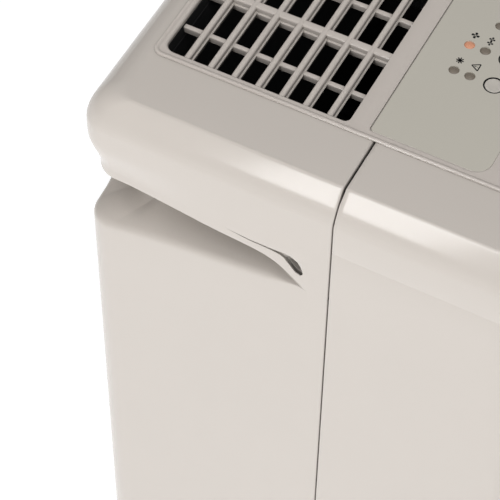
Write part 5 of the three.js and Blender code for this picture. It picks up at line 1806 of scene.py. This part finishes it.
class Chassis:
    """Base pan, partition, control board, gland, sensor and the castors."""

    def build(self) -> None:
        """Makes every piece that carries the rest."""
        Kit.finer("base_pan", GREY_ABS, "dark_plastic", 0.6)
        Kit.finer("partition", GREY_ABS, "dark_plastic", 0.4)
        Kit.finer("humidity_sensor", NYLON, "nylon", 0.5)
        self._board()
        self._gland()
        for where in ("front_left", "front_right", "rear_left", "rear_right"):
            Kit.finer(f"castor_fork_{where}", DRAWN_STEEL, "steel", 0.4)
            self._wheel(where)

    def _board(self) -> None:
        """Circuit board: laminate, switch bodies under the keys, a connector and rows of small parts."""
        box = Box.of("control_board")
        low, high = box.low, box.high
        thickness = 1.6
        laminate = Form().prism(rounded(low.x, high.x, low.y, high.y, 1.5, steps=3), low.z + 4,
                                low.z + 4 + thickness)
        Kit.add("board_laminate", laminate, BOARD, "cabinet", ["control_board"], "board", 0.1)
        switch = Form().prism(rounded(-3, 3, -3, 3, 0.4, steps=2), low.z + 5.6, high.z - 0.1, edge=0.3)
        switches = Repeat(6, (20.13, 0, 0)).mesh(switch, "switches", BLACK_ABS,
                                                 (KeyPanel.key_x(0), -53.1, 0))
        Kit.add("board_switches", switches, BLACK_ABS, "cabinet", ["control_board"], "board")
        small = Form().prism(rounded(-1, 1, -0.6, 0.6, 0.15, steps=1), low.z + 3.2, low.z + 4.1)
        chips = Repeat(18, (7.4, 0, 0), rows=3, row_step=(0, 9.0, 0)).mesh(small, "chips", NYLON,
                                                                           (-63, -50, 0))
        Kit.add("board_chips", chips, NYLON, "cabinet", ["control_board"], "board")
        plug = Form().prism(rounded(-11, 11, -3.5, 3.5, 0.5, steps=2), low.z, low.z + 4.1, edge=0.3)
        Kit.add("board_connector", plug.shifted(50, -24, 0), NYLON, "cabinet", ["control_board"], "board")

    def _gland(self) -> None:
        """Cord gland: hexagonal nut with a domed nose and an open bore."""
        box = Box.of("cord_gland")
        x, z, r = box.centre.x, box.centre.z, box.size.x / 2
        low, high = box.low.y, box.high.y
        ring = Form().lathe([(4.0, low), (8.6, low), (8.6, high - 5), (r, high - 4.8), (r, high - 2.6),
                             (r - 1, high - 1.6), (7.2, high - 1.4), (6.2, high), (4.3, high),
                             (4.0, high - 0.6)],
                            (x, 0, z), Axis.Y, 48)
        Kit.add("gland_body", ring, BLACK_ABS, "cabinet", ["cord_gland"], "dark_plastic", 0.2)

    def _wheel(self, where: str) -> None:
        """Twin-tread wheel: nylon hub with a dished face, rubber tyre with a rounded tread.

        Args:
            where: Corner of the base, as the CAD nodes name it.
        """
        box = Box.of(f"castor_wheel_{where}")
        x, y, z, r = box.centre.x, box.centre.y, box.centre.z, box.size.z / 2
        half = box.size.x / 2
        tyre = Form().lathe([(r - 3.5, -half + 0.3), (r - 1.5, -half), (r - 0.4, -half + 0.9),
                             (r, -half + 2.4),
                             (r, -0.8), (r - 0.7, -0.3), (r - 0.7, 0.3), (r, 0.8), (r, half - 2.4),
                             (r - 0.4, half - 0.9), (r - 1.5, half), (r - 3.5, half - 0.3)], (x, y, z),
                            Axis.X, 56)
        Kit.add(f"tyre_{where}", tyre, RUBBER, f"wheel_{where}", [f"castor_wheel_{where}"], "rubber")
        hub = Form().lathe([(2.55, -half + 0.1), (4.2, -half + 0.1), (4.6, -half + 1.2),
                            (r - 4.2, -half + 1.6),
                            (r - 3.4, -half + 0.7), (r - 3.4, half - 0.7), (r - 4.2, half - 1.6),
                            (4.6, half - 1.2),
                            (4.2, half - 0.1), (2.55, half - 0.1)], (x, y, z), Axis.X, 40)
        Kit.add(f"hub_{where}", hub, NYLON, f"wheel_{where}", [f"castor_wheel_{where}"], "rubber")


ASSEMBLIES = (Case, TopPlate, KeyPanel, AirPath, Refrigeration, WaterPath, Chassis)


# ------------------------------------------------------------------ room, light and camera
@dataclass(frozen=True)
class Lamp:
    """One soft rectangular light and what it looks at."""

    name: str
    place: Point
    target: Point
    width: float
    height: float
    watts: float
    colour: tuple[float, float, float] = (1.0, 1.0, 1.0)

    def build(self) -> None:
        """Adds the light."""
        data = bpy.data.lights.new(self.name, "AREA")
        data.shape = "RECTANGLE"
        data.size, data.size_y = self.width, self.height
        data.energy = self.watts
        data.color = self.colour
        light = bpy.data.objects.new(self.name, data)
        light.location = self.place
        ahead = Vector(self.target) - Vector(self.place)
        light.rotation_euler = ahead.to_track_quat("-Z", "Y").to_euler()
        bpy.context.scene.collection.objects.link(light)


class Studio:
    """White floor, even surroundings, a light above, one on the left, a strip for the shoulder's glint."""

    def build(self) -> None:
        """Makes floor, lights and camera."""
        scene = bpy.context.scene
        world = bpy.data.worlds.new("studio")
        world.use_nodes = True
        world.node_tree.nodes["Background"].inputs["Color"].default_value = (1.0, 1.0, 1.0, 1.0)
        world.node_tree.nodes["Background"].inputs["Strength"].default_value = 0.12
        scene.world = world
        self._floor()
        strip = Lamp("strip", (-1.314, 0.272, 1.3), (-0.154, -0.03, 0.562), 0.25, 1.4, 8.2)
        broad = Lamp("broad", (-2.6, -0.3, 0.25), (0.0, 0.0, 0.3), 2.4, 1.0, 1.6)
        above = Lamp("above", (-0.5, -0.5, 2.6), (0.0, 0.0, 0.5), 2.0, 2.0, 25.6)
        for lamp in (strip, broad, above):
            lamp.build()
        scene.view_settings.view_transform = "Standard"
        self._camera()

    def _floor(self) -> None:
        """Adds the floor, twelve metres square."""
        form = Form()
        form.cap(form.loop([(-6000, -6000, 0), (6000, -6000, 0), (6000, 6000, 0), (-6000, 6000, 0)]))
        floor = bpy.data.objects.new("floor", form.mesh("floor"))
        bpy.context.scene.collection.objects.link(floor)
        floor.data.materials.append(FLOOR_WHITE.material())
        floor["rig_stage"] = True

    def _camera(self) -> None:
        """Adds the camera: long lens, above the left rear corner."""
        data = bpy.data.cameras.new("camera")
        data.lens = 154.8
        data.sensor_width = 36.0
        data.clip_end = 50.0
        camera = bpy.data.objects.new("camera", data)
        right = Vector((0.46451, -0.88552, 0.00906))
        up = Vector((0.70531, 0.37613, 0.60088))
        ahead = Vector((0.53550, 0.27273, -0.79929))
        turn = Matrix((right, up, -ahead)).transposed()
        camera.matrix_world = Matrix.Translation(Vector((-0.77259, -0.27882, 1.41320))) @ turn.to_4x4()
        bpy.context.scene.collection.objects.link(camera)
        bpy.context.scene.camera = camera


def plain(value: object) -> object:
    """Turns vectors and tuples into plain lists.

    Returns:
        The same as plain values.
    """
    if isinstance(value, dict):
        return {k: plain(v) for k, v in value.items()}
    if isinstance(value, (int, float, str)) or value is None:
        return value
    return [plain(v) for v in value]


def main() -> None:
    """Builds every sub-assembly and the studio, and measures the bounds before and after."""
    logging.basicConfig(level=logging.INFO, format="%(name)s %(message)s")
    before = plain(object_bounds())
    for assembly in ASSEMBLIES:
        assembly().build()
    Studio().build()
    {"cad": before, "visual": plain(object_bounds())}


if __name__ == "__main__":
    main()
